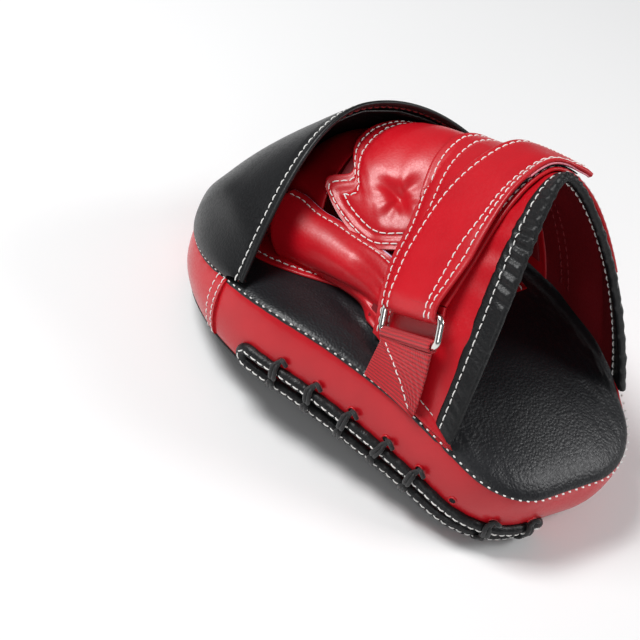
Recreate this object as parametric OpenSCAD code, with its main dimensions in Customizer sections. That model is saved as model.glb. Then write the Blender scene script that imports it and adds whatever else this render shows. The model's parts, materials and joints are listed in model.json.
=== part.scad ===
// Curved focus mitt for the right hand: a bent foam pad with a striking face below,
// and a finger hood, hand cover, thumb sleeve, cuff and strap on its back.
// X runs across the pad with the thumb on the -X side, Y runs from the wrist to the
// fingers, and the pad stands on both ends of its striking face at z = 0.

/* [Pad] */
// Length along the curved pad, from the wrist end to the finger end
pad_length = 250; // [236:1:264]
// Width of the pad across the fingers
pad_width = 194; // [184:1:204]
// Corner radius of the wrist end
wrist_corner = 40; // [34:1:46]
// Straight stretch across the wrist end
wrist_flat = 32; // [24:1:40]
// Radius that the middle of the pad is bent to along its length
bend_radius = 299; // [285:1:340]
// Thickness at the wrist end
wrist_thickness = 40; // [36:1:44]
// Greatest thickness, under the heel of the hand
heel_thickness = 45; // [41:1:49]
// Thickness at the finger end
finger_thickness = 26; // [22:1:30]
// How far the side wall bulges out between its seams
wall_bulge = 2.6; // [1:0.1:4]
// Depth of the flat spots that the pad rests on
rest_flat = 1.2; // [0.6:0.1:1.6]

/* [Target] */
// Outer diameter of the target ring
target_d = 55.5; // [45:0.5:65]
// Inner diameter of the target ring
target_hole_d = 49; // [40:0.5:58]
// Diameter of the disc inside the ring
disc_d = 46.5; // [36:0.5:55]
// Place of the target along the pad, from its middle
target_s = -6; // [-20:1:20]

/* [Glove] */
// Angle between the back of the pad and the hand's axis
hand_tilt = 25; // [22:1:28]
// Height of the finger hood's edge over the back of the pad
hood_height = 75; // [66:1:80]
// Place of the highest point of the hood's edge across the pad
hood_peak_x = -17; // [-24:1:0]
// Thickness of the leather
leather = 1.4; // [1:0.1:2]
// Width of the binding on the cuff and hood edges
binding_w = 7; // [5:0.5:9]

/* [Strap] */
// Diameter of the ring's wire
wire_d = 3.5; // [3:0.1:4]
// Inside width of the ring, along the strap's width
ring_inside = 38.4; // [38:0.2:42]
// Distance between the middles of the ring's two long bars
ring_bars = 14; // [13:0.5:18]
// Thickness of the strap
strap_thickness = 1.8; // [1.4:0.1:2]
// Thickness of the elastic webbing
elastic_thickness = 1.2; // [1:0.1:1.5]

/* [Lacing] */
// Number of lace ties
tie_count = 8; // [6:1:8]
// Distance between lace ties
tie_pitch = 20.8; // [18:0.2:21]
// Diameter of the lace
lace_d = 2.6; // [2:0.1:3]

/* [Hidden] */

leather_red = "firebrick";
leather_black = "#202022";
foam_grey = "dimgray";
nickel = "silver";

// ---- Layers of the pad, from the striking face to the back
face_t = 2;
impact_t = 12;
back_t = 2.5;
wall_t = 2;
seat = 0.3;          // gap between two layers that lie on each other
clear = 0.3;         // gap between bodies that move past each other
pin_clear = 0.05;    // radial gap between the ring's wire and the loops on it

// ---- Small helpers
function mix(a, b, k) = a + (b - a) * k;
function unit(v) = v / norm(v);
function reversed(list) = [for (i = [len(list) - 1:-1:0]) list[i]];
function bezier(a, b, c, d, k) =
    pow(1 - k, 3) * a + 3 * pow(1 - k, 2) * k * b + 3 * (1 - k) * k * k * c + k * k * k * d;

// ---- The pad's curved frame: x across, s along the arch, h over its middle layer
function thickness(s) = lookup(s, [
    [-pad_length / 2, wrist_thickness], [-60, heel_thickness], [0, 0.91 * heel_thickness],
    [60, finger_thickness + 4], [pad_length / 2, finger_thickness]
]);
function arched(x, s, h) = let (angle = s / bend_radius * 180 / PI)
    [x, (bend_radius + h) * sin(angle), (bend_radius + h) * cos(angle) - bend_radius];
finger_foot = arched(0, pad_length / 2, -finger_thickness / 2);
wrist_foot = arched(0, -pad_length / 2, -wrist_thickness / 2);
level = atan2(finger_foot.z - wrist_foot.z, finger_foot.y - wrist_foot.y);
function levelled(p) =
    [p.x, p.y * cos(level) + p.z * sin(level), p.z * cos(level) - p.y * sin(level)];
finger_top = levelled(arched(0, pad_length / 2, finger_thickness / 2));
wrist_top = levelled(arched(0, -pad_length / 2, wrist_thickness / 2));
shift_y = -(finger_top.y + wrist_top.y) / 2;
shift_z = -levelled(finger_foot).z - rest_flat;
function bend(x, s, h) = let (p = levelled(arched(x, s, h)))
    [p.x, p.y + shift_y, max(p.z + shift_z, 0)];
// A point over the back of the pad, and one over its striking face (negative is outside)
function on_back(x, s, h) = bend(x, s, thickness(s) / 2 + h);
function on_face(x, s, h) = bend(x, s, -thickness(s) / 2 + h);

// ---- Outline: distance d along each half from the middle of the wrist end
finger_r = pad_width / 2;
finger_c = [0, pad_length / 2 - finger_r];
wrist_c = [wrist_flat / 2, wrist_corner - pad_length / 2];
span = norm(wrist_c - finger_c);
side_angle = atan2(wrist_c.y - finger_c.y, wrist_c.x) + acos((finger_r - wrist_corner) / span);
wrist_arc = wrist_corner * (90 + side_angle) * PI / 180;
side_run = sqrt(span * span - pow(finger_r - wrist_corner, 2));
finger_arc = finger_r * (90 - side_angle) * PI / 180;
d_corner = wrist_flat / 2;
d_side = d_corner + wrist_arc;
d_finger = d_side + side_run;
// [point, outward direction] at distance d, on the +X half
function rim_frame(d) =
    d < d_corner ? [[d, -pad_length / 2], [0, -1]]
    : d < d_side ? let (a = -90 + (d - d_corner) / wrist_corner * 180 / PI)
        [wrist_c + wrist_corner * [cos(a), sin(a)], [cos(a), sin(a)]]
    : let (a = side_angle, n = [cos(a), sin(a)], start = wrist_c + wrist_corner * n)
        d < d_finger ? [start + (d - d_side) * [-n.y, n.x], n]
        : let (b = a + (d - d_finger) / finger_r * 180 / PI, m = [cos(b), sin(b)])
            [finger_c + finger_r * m, m];
function rim(side, d, inset) = let (f = rim_frame(d), p = f[0] - inset * f[1]) [side * p.x, p.y];
corner_steps = 6;
side_steps = 5;
finger_steps = 16;
finger_step = finger_arc / (finger_steps + 0.5);
stops = [
    for (i = [0:corner_steps]) d_corner + i * wrist_arc / corner_steps,
    for (i = [1:side_steps]) d_side + i * side_run / side_steps,
    for (i = [1:finger_steps]) d_finger + i * finger_step
];
lap = corner_steps + side_steps + 4;   // the stop at which the two side walls lap
last_stop = len(stops) - 1;
function outline(inset) = [
    for (i = [last_stop:-1:0]) rim(-1, stops[i], inset),
    for (i = [0:last_stop]) rim(1, stops[i], inset)
];
function back_ring(inset, h) = [for (p = outline(inset)) on_back(p.x, p.y, h)];
function face_ring(inset, h) = [for (p = outline(inset)) on_face(p.x, p.y, h)];

// ---- Solids from rings of points: a closed one joins its last ring to its first, and an
// open one is ended by strips between opposite points
module loft(rings, closed = false) {
    n = len(rings[0]);
    m = len(rings);
    sides = [for (i = [0:m - (closed ? 1 : 2)], j = [0:n - 1])
        let (a = i * n + j, b = i * n + (j + 1) % n, c = (i + 1) % m * n + j, d = (i + 1) % m * n + (j + 1) % n)
            each [[a, c, d], [a, d, b]]];
    first = [for (j = [0:n / 2 - 2]) each [[j, j + 1, n - 2 - j], [j, n - 2 - j, n - 1 - j]]];
    top = (m - 1) * n;
    last = [for (f = first) [top + f[0], top + f[2], top + f[1]]];
    polyhedron(points = [for (r = rings) each r], faces = concat(sides, closed ? [] : concat(first, last)),
        convexity = 8);
}

// A sheet on a skin (u, v), between two heights over it
module sheet(skin, low, high, nu, nv) {
    function lifted(u, v, off) = let (
        e = 0.002,
        du = skin(u + e, v) - skin(u - e, v),
        dv = skin(u, v + e) - skin(u, v - e)
    ) skin(u, v) + off * unit(cross(dv, du));
    loft([for (i = [0:nu]) [
        for (j = [0:nv]) lifted(i / nu, j / nv, high),
        for (j = [nv:-1:0]) lifted(i / nu, j / nv, low)
    ]]);
}

// A round cord along a list of points
module cord(path, r, sides) {
    last = len(path) - 1;
    tangents = [for (i = [0:last]) unit(path[min(i + 1, last)] - path[max(i - 1, 0)])];
    start = unit(cross(tangents[0], [0.2, 0.3, 0.9]));
    normals = [for (i = 0, n = start; i <= last; i = i + 1,
        n = i > last ? n : unit(n - (n * tangents[i]) * tangents[i])) n];
    loft([for (i = [0:last]) let (b = cross(tangents[i], normals[i]))
        [for (k = [0:sides - 1]) let (a = 360 * (k + 0.5) / sides)
            path[i] + r * (cos(a) * normals[i] + sin(a) * b)]]);
}

// ---- Side wall: f is 0 at the face seam and 1 at the back seam
function wall_h(s, f) = mix(seat / 3 - thickness(s) / 2 + face_t, thickness(s) / 2 - back_t - seat / 3, f);
function on_wall(side, d, f, off) = let (p = rim(side, d, -off)) bend(p.x, p.y, wall_h(p.y, f));
function bulge(f) = wall_bulge * 4 * f * (1 - f);
function wall_section(side, d) = [
    for (f = [0:0.25:1]) on_wall(side, d, f, bulge(f)),
    for (f = [1:-0.5:0]) on_wall(side, d, f, -wall_t)
];

// ---- The hand's tilted frame: x across, t from fingers to wrist, z away from the pad
function hand(x, t, z) = on_back(x, z * sin(hand_tilt) - t * cos(hand_tilt),
    t * sin(hand_tilt) + z * cos(hand_tilt));
foot_lift = 2.9;
function foot_z(t) = (foot_lift - t * sin(hand_tilt)) / cos(hand_tilt);
// Sections of the glove's arch: t, then near foot x, near handle, crown handle, crown,
// crown handle, far handle and far foot x
cuff_t = 80;
edge_t = -20;
cover_t = 18;       // where the hand cover is sewn to the cuff
cover_u = 0.2;      // the arch's u at the hand cover's free edge over the thumb
stations = [
    [edge_t, -52, [-60, 34], [-36, 76], [2, 76], [30, 78], [56, 50], 57],
    [18, -56, [-44, 14], [-12, 62], [14, 68], [40, 70], [62, 40], 62],
    [61, -57, [-52, 22], [-30, 58], [12, 67], [36, 68], [58, 30], 60],
    [cuff_t, -57, [-48, 0], [-16, 78], [0, 78], [14, 78], [42, 20], 56]
];
function station(t) = let (
    i = t < stations[1][0] ? 0 : t < stations[2][0] ? 1 : 2,
    a = stations[i], b = stations[i + 1], k = (t - a[0]) / (b[0] - a[0])
) [for (c = [0:7]) mix(a[c], b[c], k)];
// u goes from the near foot (0) over the crown (0.5) to the far foot (1)
function arch(t, u) = let (s = station(t), p = u < 0.5
    ? bezier([s[1], foot_z(t)], s[2], s[3], s[4], 2 * u)
    : bezier(s[4], s[5], s[6], [s[7], foot_z(t)], 2 * u - 1)) hand(p.x, t, p.y);
// A dome from an edge curve to a seam curve: full is 0 where it is drawn taut and 1 where
// it stands upright on its seam
function dome(edge, seam, full, v) = let (out = mix(v, sin(90 * v), full))
    [mix(edge.x, seam.x, out), mix(edge.y, seam.y, out),
        mix(seam.z, edge.z, mix(1 - v, cos(90 * v), full))];

// ---- Hood: u goes from the far end of its edge to the near end
hood_half = finger_r - 1;
function hood_angle(u) = mix(176, 4, u);
function hood_edge(u) = let (
    x = -hood_half * cos(hood_angle(u)),
    reach = x < hood_peak_x ? hood_peak_x + hood_half + 1 : hood_half - hood_peak_x + 1,
    h = hood_height * (1 - pow((x - hood_peak_x) / reach, 2))
) [x, 24 + 21 * h / hood_height, h + 0.5];
function hood_seam(u) = let (a = hood_angle(u))
    [-hood_half * cos(a), finger_c.y + hood_half * sin(a), 0.5];
function hood_full(u) = min(1, 2 * pow(abs(cos(hood_angle(u))), 3));
function hood(u, v) = let (p = dome(hood_edge(u), hood_seam(u), hood_full(u), v)) on_back(p.x, p.y, p.z);
hood_bound = 0.07;   // the part of v that the binding takes

// ---- Ring: b runs along its bars towards the fingers, n points away from the glove, and
// up leaves the elastic
bar_fingers = hand(-55, 32, 8.5);
bar_wrist = hand(-57, 66, 17.5);
bar_low = (hand(-58, 32, -4) + hand(-62, 66, 3)) / 2;
upper_bar = (bar_fingers + bar_wrist) / 2;
b_dir = unit(bar_fingers - bar_wrist);
down_raw = bar_low - upper_bar;
up_dir = -unit(down_raw - (down_raw * b_dir) * b_dir);
n_dir = cross(up_dir, b_dir);
lower_bar = upper_bar - ring_bars * up_dir;
function ring_point(across, out, up) = upper_bar + across * b_dir + out * n_dir + up * up_dir;
loop_r = wire_d / 2 + pin_clear;
strap_w = ring_inside - 2.4;

// ---- Strap: k is 0 at the ring; the tail ends on the crown and the base at the far side
glove_k = 0.16;      // where the strap has reached the glove
glove_u = [0.19, 0.26];   // the arch's u there, at the strap's two edges
tail_u = 0.60;       // the arch's u at the tail's end
base_u = 0.84;       // the arch's u at the base's end
tip_slant = 0.045;   // how much further the wrist edge of the tip reaches
fold_end = 4.6;      // distance from the bar's middle at which the flat layers begin
function strap_t(u, w) = mix(lookup(u, [[0.15, 29], [0.5, 40]]), lookup(u, [[0.15, 62], [0.5, 69]]), w);
// w is 0 at the edge towards the fingers and 1 at the edge towards the wrist
function strap_line(k, w, start_out, end_u, slant, lift) = let (
    e = 0.002,
    u = mix(mix(glove_u[0], glove_u[1], w), end_u + slant * (w - 0.5), max(k - glove_k, 0) / (1 - glove_k)),
    t = strap_t(u, w),
    du = arch(t, u + e) - arch(t, u - e),
    dt = arch(t + 0.5, u) - arch(t - 0.5, u),
    over = arch(t, u) + lift * unit(cross(dt, du)),
    held = ring_point((0.5 - w) * strap_w, start_out, fold_end)
) k < glove_k ? mix(held, over, k / glove_k) : over;
base_lift = 2.5;
loop_lift = base_lift + strap_thickness + seat;
patch_t = 0.6;
hook_lift = loop_lift + patch_t + clear + 0.2;
tail_lift = hook_lift + patch_t + seat;
layer_out = wire_d / 2 + pin_clear;   // distance of the layers from the bar's middle at the ring
function base_at(k, w) = strap_line(k, w, -layer_out - strap_thickness, base_u, 0, base_lift);
function tail_at(k, w) = strap_line(k, w, layer_out, tail_u, tip_slant, tail_lift);
tail_split = 0.5;    // the tail's k at its own fold
split_gap = 0.004;
fold_line = [for (w = [0, 1])
    strap_line(tail_split, w, layer_out, tail_u, tip_slant, tail_lift + strap_thickness)];
// Written out for the record: the joints' places and directions
echo(upper_bar = upper_bar, lower_bar = lower_bar, b_dir = b_dir, up_dir = up_dir, n_dir = n_dir,
    fold_line = fold_line);

// ---- Lacing, on the near side wall: places along the rim and up the wall
lace_first = 15.4;
placket_ends = [8, 176];
upper_f = 0.36;
lower_f = 0.14;
hole_f = 0.50;
roll_h = 3;
roll_out = 2.8;
function tie_d(i) = lace_first + i * tie_pitch;
gap_f = (upper_f + lower_f) / 2;
function lace_point(d, f, off) = on_wall(-1, d, f, bulge(f) + off);
function tie(i) = let (
    d = tie_d(i),
    run = [lace_point(d, hole_f, -lace_d), lace_point(d, hole_f, lace_d / 2),
        lace_point(d, upper_f, roll_out + lace_d / 2), lace_point(d, gap_f, lace_d / 2)]
) i % 2 == 0 ? run : reversed(run);
lace_route = [for (i = [0:tie_count - 1]) each concat(tie(i), i == tie_count - 1 ? []
    : [lace_point(tie_d(i) + tie_pitch / 2, i % 2 == 0 ? gap_f : hole_f, i % 2 == 0 ? lace_d / 2 : -lace_d)])];

// ==== Pad
module face_panel() {
    color(leather_black) loft([face_ring(0, 0), face_ring(0, face_t)]);
}

module impact_foam() {
    color(foam_grey) loft([face_ring(wall_t + seat, face_t + seat), face_ring(wall_t + seat, face_t + impact_t)]);
}

module backing_foam() {
    color("gray") loft([face_ring(wall_t + seat, face_t + impact_t), back_ring(wall_t + seat, -back_t - seat)]);
}

module back_panel() {
    color(leather_black) loft([back_ring(0, -back_t), back_ring(0, 0)]);
}

module side_wall_main() {
    color(leather_red) loft([
        for (i = [lap:-1:0]) wall_section(1, stops[i]),
        for (i = [0:lap]) wall_section(-1, stops[i])
    ]);
}

module side_wall_finger() {
    color(leather_red) loft([
        for (i = [lap:last_stop]) wall_section(-1, stops[i]),
        for (i = [last_stop:-1:lap]) wall_section(1, stops[i])
    ]);
}

module target_ring() {
    steps = 40;
    function rim_at(r, a, h) = on_face(r * cos(a), target_s + r * sin(a), h);
    color("white") loft([for (i = [1:steps]) let (a = 360 * i / steps) [
        rim_at(target_d / 2, a, -seat), rim_at(target_d / 2, a, -seat - 0.4),
        rim_at(target_hole_d / 2, a, -seat - 0.4), rim_at(target_hole_d / 2, a, -seat)
    ]], closed = true);
}

module target_disc() {
    half_steps = 16;
    function edge(r, h) = [for (i = [0:2 * half_steps - 1]) let (a = 90 - 180 * (i + 0.5) / half_steps)
        on_face(r * cos(a), target_s + r * sin(a), h)];
    color("lightsteelblue") loft([edge(disc_d / 2, -seat), edge(disc_d / 2, -seat - 0.4)]);
}

// Red panel under the glove, reaching into the hood
module base_panel() {
    places = [-22, -9, 4, 21, 42, 62, 80, 95, 106];
    function half(s) = lookup(s, [[-22, 45], [4, 50], [21, 63], [42, 72], [80, 62], [95, 46], [106, 22]]);
    function edge(h) = [
        for (i = [len(places) - 1:-1:0]) on_back(-half(places[i]), places[i], h),
        for (s = places) on_back(half(s), s, h)
    ];
    color(leather_red) loft([edge(seat), edge(seat + 1.2)]);
}

// ==== Lacing
module placket(f) {
    steps = 36;
    sides = 8;
    color(leather_black) loft([for (i = [0:steps]) let (
        d = mix(placket_ends[0], placket_ends[1], i / steps),
        s = rim(-1, d, 0).y,
        tall = roll_h / (wall_h(s, 1) - wall_h(s, 0))
    ) [for (k = [0:sides - 1]) let (a = 360 * (k + 0.5) / sides, g = f + tall * sin(a))
        lace_point(d, g, 0.2 + roll_out / 2 * (1 + cos(a)))]]);
}

module placket_upper() {
    placket(upper_f);
}

module placket_lower() {
    placket(lower_f);
}

module lace() {
    color(leather_black) cord(lace_route, lace_d / 2, 8);
}

// ==== Finger hood
module finger_hood() {
    color(leather_black) sheet(function (u, v) hood(u, mix(hood_bound, 1, v)), 0, leather, 26, 7);
}

module hood_lining() {
    color(leather_black) sheet(function (u, v) hood(u, mix(hood_bound, 0.97, v)),
        -leather - 2 * seat, -2 * seat, 26, 7);
}

module hood_binding() {
    color(leather_black) sheet(function (u, v) hood(u, v * (hood_bound - 0.005)),
        -leather - 0.3, leather + 0.3, 26, 1);
}

// ==== Glove
// Toe cap for the fingers, inside the hood
module finger_sleeve() {
    function cap(u, v) = let (
        a = 180 * u,
        foot = hand(0, edge_t, 0),
        s = station(edge_t),
        p = u < 0.5 ? bezier([s[1], foot_z(edge_t)], s[2], s[3], s[4], 2 * u)
            : bezier(s[4], s[5], s[6], [s[7], foot_z(edge_t)], 2 * u - 1),
        edge = [0.9 * p.x, 0.9 * p.y * sin(hand_tilt) - (edge_t - 2) * cos(hand_tilt),
            max(0.89 * (edge_t * sin(hand_tilt) + p.y * cos(hand_tilt)), foot_lift)],
        seam = [-54 * cos(a), 58 + 36 * sin(a), foot_lift],
        q = dome(edge, seam, 0.8, v)
    ) on_back(q.x, q.y, q.z);
    color(leather_red) sheet(function (u, v) cap(mix(0.98, 0.02, u), mix(0.02, 1, v)), -leather, 0, 22, 6);
}

// Side pocket for the thumb; its top edge is open
module thumb_sleeve() {
    function thumb(k, v) = let (
        t = mix(cover_t - 3, edge_t - 8, k),
        p = bezier([mix(-45, -54, k), foot_z(t)], mix([-56, 6], [-70, 14], k),
            mix([-54, 24], [-70, 44], k), mix([-40, 27], [-52, 46], k), v)
    ) hand(p.x, t, p.y);
    color(leather_red) sheet(function (u, v) thumb(v, 1 - u), 0, leather, 12, 8);
}

module hand_cover() {
    color(leather_red) sheet(function (u, v) arch(mix(edge_t, cover_t, v), mix(cover_u, 1, u)), 0, leather, 24, 6);
}

module hand_padding() {
    color(foam_grey) sheet(function (u, v) arch(mix(edge_t + 3, cover_t - 2, v), mix(cover_u + 0.03, 0.9, u)),
        -5, -seat, 20, 4);
}

// ==== Cuff
module cuff_panel() {
    color(leather_red) sheet(function (u, v) arch(mix(cover_t + seat, cuff_t - binding_w, v), u), 0, leather, 28, 6);
}

module cuff_lining() {
    color("darkred") sheet(function (u, v) arch(mix(cover_t + seat, cuff_t - binding_w, v), u),
        -leather - 2 * seat, -2 * seat, 28, 6);
}

module cuff_binding() {
    color(leather_black) sheet(function (u, v) arch(mix(cuff_t - binding_w + 0.2, cuff_t, v), u),
        -leather - 0.6, leather + 0.6, 28, 1);
}

// ==== Elastic, ring and strap
module along_bar(centre) {
    multmatrix([
        [n_dir.x, up_dir.x, b_dir.x, centre.x],
        [n_dir.y, up_dir.y, b_dir.y, centre.y],
        [n_dir.z, up_dir.z, b_dir.z, centre.z],
        [0, 0, 0, 1]
    ]) children();
}

// Sleeve of webbing or strap round one bar of the ring
module bar_loop(centre, thick) {
    along_bar(centre) difference() {
        cylinder(h = strap_w, r = loop_r + thick, center = true, $fn = 40);
        cylinder(h = strap_w + 2, r = loop_r, center = true, $fn = 40);
    }
}

module strap_ring() {
    corner = wire_d;
    half_w = (ring_inside + wire_d) / 2;
    half_h = ring_bars / 2;
    color(nickel) along_bar(upper_bar - half_h * up_dir) {
        for (up = [-1, 1]) translate([0, up * half_h, 0])
            cylinder(h = 2 * (half_w - corner), d = wire_d, center = true, $fn = 40);
        for (along = [-1, 1]) translate([0, 0, along * half_w]) rotate([90, 0, 0])
            cylinder(h = 2 * (half_h - corner), d = wire_d, center = true, $fn = 40);
        for (along = [-1, 1], up = [-1, 1])
            translate([0, up * (half_h - corner), along * (half_w - corner)])
                rotate([0, -90, 0]) rotate([0, 0, along > 0 ? (up > 0 ? 0 : -90) : (up > 0 ? 90 : 180)])
                    rotate_extrude(angle = 90, $fn = 40) translate([corner, 0])
                        circle(d = wire_d, $fn = 40);
    }
}

module elastic_loop() {
    color("red") bar_loop(lower_bar, elastic_thickness);
}

// Webbing from the back seam up to the loop on the ring's lower bar
module elastic_tab() {
    function web(k, w) = let (
        foot = on_back(mix(-72, -63, w), mix(-46, -71, w), 0.8),
        middle = on_back(mix(-68, -61, w), mix(-41, -66, w), mix(5, 11, w)),
        head = ring_point((0.5 - w) * strap_w, 0, -ring_bars - 3.6)
    ) k < 0.5 ? mix(foot, middle, 2 * k) : mix(middle, head, 2 * k - 1);
    color("red") sheet(function (u, v) web(u, v), -elastic_thickness / 2, elastic_thickness / 2, 8, 4);
}

module strap_base() {
    color(leather_red) sheet(function (k, w) base_at(k, w), 0, strap_thickness, 36, 4);
}

module loop_patch() {
    function patch(k, w) = strap_line(mix(0.3, 0.95, k), mix(0.08, 0.92, w), 0, tail_u, tip_slant, loop_lift);
    color("black") sheet(function (k, w) patch(k, w), 0, patch_t, 26, 4);
}

module strap_fold() {
    color(leather_red) bar_loop(upper_bar, strap_thickness);
}

module strap_tail_near() {
    color(leather_red) sheet(function (k, w) tail_at(k * (tail_split - split_gap), w), 0, strap_thickness, 18, 4);
}

module strap_tail_tip() {
    color(leather_red) sheet(function (k, w) tail_at(mix(tail_split + split_gap, 1, k), w),
        0, strap_thickness, 18, 4);
}

module hook_patch() {
    function patch(k, w) = strap_line(mix(tail_split + 0.02, 0.97, k), mix(0.08, 0.92, w), 0,
        tail_u, tip_slant, hook_lift);
    color("pink") sheet(function (k, w) patch(k, w), 0, patch_t, 17, 4);
}

face_panel();
target_ring();
target_disc();
impact_foam();
backing_foam();
side_wall_main();
side_wall_finger();
back_panel();
base_panel();
placket_upper();
placket_lower();
lace();
finger_hood();
hood_lining();
hood_binding();
finger_sleeve();
thumb_sleeve();
hand_cover();
hand_padding();
cuff_panel();
cuff_lining();
cuff_binding();
elastic_tab();
elastic_loop();
strap_ring();
strap_base();
loop_patch();
strap_fold();
strap_tail_near();
strap_tail_tip();
hook_patch();
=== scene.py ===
"""A curved focus mitt for the right hand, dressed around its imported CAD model.

The pad's bent frame, its outline and the glove's arch are written as formulas in millimetres,
and every piece of leather, webbing, thread and metal is built on them and ridden on its body.
"""
import json
import logging
from dataclasses import dataclass, field
from enum import Enum
from functools import cached_property
from typing import Callable, Optional, Sequence

import bmesh
import bpy
import numpy as np
from mathutils import Matrix
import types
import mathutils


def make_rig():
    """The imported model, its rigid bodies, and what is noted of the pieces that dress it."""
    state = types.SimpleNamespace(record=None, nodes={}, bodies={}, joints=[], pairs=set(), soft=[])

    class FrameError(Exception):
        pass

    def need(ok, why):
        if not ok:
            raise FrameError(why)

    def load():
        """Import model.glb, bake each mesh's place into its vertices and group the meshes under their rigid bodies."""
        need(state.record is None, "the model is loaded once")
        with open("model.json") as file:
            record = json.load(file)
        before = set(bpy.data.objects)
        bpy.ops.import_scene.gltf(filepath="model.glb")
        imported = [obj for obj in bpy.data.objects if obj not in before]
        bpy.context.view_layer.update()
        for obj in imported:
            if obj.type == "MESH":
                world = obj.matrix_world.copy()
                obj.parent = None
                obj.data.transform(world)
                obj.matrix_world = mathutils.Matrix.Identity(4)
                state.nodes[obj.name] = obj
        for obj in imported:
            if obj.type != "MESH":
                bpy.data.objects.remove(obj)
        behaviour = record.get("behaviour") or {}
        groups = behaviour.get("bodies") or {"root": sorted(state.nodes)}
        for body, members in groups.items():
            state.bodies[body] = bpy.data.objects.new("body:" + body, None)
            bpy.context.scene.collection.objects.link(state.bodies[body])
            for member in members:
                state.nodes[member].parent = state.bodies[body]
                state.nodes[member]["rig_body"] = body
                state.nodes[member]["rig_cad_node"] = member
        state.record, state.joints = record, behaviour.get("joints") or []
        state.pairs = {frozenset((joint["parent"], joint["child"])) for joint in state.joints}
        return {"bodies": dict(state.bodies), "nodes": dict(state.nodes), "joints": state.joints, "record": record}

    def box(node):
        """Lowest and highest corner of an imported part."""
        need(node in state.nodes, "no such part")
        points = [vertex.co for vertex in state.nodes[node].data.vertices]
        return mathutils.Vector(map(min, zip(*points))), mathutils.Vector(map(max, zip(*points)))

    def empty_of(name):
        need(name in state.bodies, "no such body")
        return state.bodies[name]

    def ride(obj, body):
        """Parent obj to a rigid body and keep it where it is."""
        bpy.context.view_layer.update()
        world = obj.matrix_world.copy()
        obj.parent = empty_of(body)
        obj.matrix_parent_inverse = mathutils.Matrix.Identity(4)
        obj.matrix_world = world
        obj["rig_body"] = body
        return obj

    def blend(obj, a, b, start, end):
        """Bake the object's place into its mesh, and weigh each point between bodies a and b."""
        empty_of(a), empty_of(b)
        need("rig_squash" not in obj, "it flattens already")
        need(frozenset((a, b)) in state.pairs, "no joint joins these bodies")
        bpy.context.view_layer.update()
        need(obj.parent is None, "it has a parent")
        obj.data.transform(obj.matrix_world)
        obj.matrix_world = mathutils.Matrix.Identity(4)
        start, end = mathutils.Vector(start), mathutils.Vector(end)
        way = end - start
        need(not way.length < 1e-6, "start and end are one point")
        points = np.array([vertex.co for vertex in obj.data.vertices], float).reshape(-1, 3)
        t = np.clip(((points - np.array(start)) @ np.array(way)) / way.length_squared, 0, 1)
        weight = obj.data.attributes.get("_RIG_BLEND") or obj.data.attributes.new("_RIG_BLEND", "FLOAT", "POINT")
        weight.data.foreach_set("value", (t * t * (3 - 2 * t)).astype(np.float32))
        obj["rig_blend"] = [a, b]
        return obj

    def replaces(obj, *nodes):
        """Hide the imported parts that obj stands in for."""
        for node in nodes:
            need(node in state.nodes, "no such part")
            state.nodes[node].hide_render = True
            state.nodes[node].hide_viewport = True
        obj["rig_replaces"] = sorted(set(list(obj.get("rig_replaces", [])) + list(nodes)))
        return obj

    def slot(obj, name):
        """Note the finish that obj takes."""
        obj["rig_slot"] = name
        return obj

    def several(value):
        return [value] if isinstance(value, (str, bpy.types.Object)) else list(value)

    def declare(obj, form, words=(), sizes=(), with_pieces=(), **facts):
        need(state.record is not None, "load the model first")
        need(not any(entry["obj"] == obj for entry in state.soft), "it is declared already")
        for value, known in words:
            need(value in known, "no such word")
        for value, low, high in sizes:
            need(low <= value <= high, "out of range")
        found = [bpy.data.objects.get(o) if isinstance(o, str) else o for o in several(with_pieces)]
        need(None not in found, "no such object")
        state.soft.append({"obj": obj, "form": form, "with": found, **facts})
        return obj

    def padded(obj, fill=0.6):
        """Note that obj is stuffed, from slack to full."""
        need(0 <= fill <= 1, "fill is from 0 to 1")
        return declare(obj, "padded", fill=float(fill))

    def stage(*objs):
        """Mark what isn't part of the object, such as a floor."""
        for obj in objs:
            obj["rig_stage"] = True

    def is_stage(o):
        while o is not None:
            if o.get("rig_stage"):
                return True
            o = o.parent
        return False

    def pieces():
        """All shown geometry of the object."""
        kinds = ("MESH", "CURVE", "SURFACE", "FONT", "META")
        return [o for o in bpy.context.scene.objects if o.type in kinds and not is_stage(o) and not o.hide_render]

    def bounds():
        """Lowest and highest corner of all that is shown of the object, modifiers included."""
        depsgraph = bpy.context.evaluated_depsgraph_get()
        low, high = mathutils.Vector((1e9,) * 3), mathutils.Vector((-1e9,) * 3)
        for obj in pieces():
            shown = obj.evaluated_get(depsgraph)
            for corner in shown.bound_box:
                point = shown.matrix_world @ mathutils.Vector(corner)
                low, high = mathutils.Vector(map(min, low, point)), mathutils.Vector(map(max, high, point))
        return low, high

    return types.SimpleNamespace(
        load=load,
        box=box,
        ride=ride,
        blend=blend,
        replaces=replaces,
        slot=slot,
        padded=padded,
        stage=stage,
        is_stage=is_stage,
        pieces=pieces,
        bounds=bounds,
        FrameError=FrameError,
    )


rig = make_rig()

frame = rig.load()

LOG = logging.getLogger("focus_mitt")
MM = 0.001
SHARP = np.radians(48)
WALL_TALL = 37.0
CUFF_LENGTH = 58.0
CUFF_ROUND = 215.0
Array = np.ndarray
Skin = Callable[[Array, Array], Array]
Swell = Callable[[Array, Array], Array]


# ---------------------------------------------------------------- small maths

def mix(a, b, k):
    """Returns the blend of a and b at k."""
    return a + (b - a) * k


def ease(k: Array) -> Array:
    """Returns k from 0 to 1 with a soft start and end."""
    k = np.clip(k, 0.0, 1.0)
    return k * k * (3 - 2 * k)


def unit(v: Array) -> Array:
    """Returns the vectors of v at length 1."""
    return v / np.maximum(np.linalg.norm(v, axis=-1, keepdims=True), 1e-9)


def pair(*values: Array) -> list[Array]:
    """Returns values as numbers of one shape."""
    return np.broadcast_arrays(*(np.asarray(v, float) for v in values))


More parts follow.
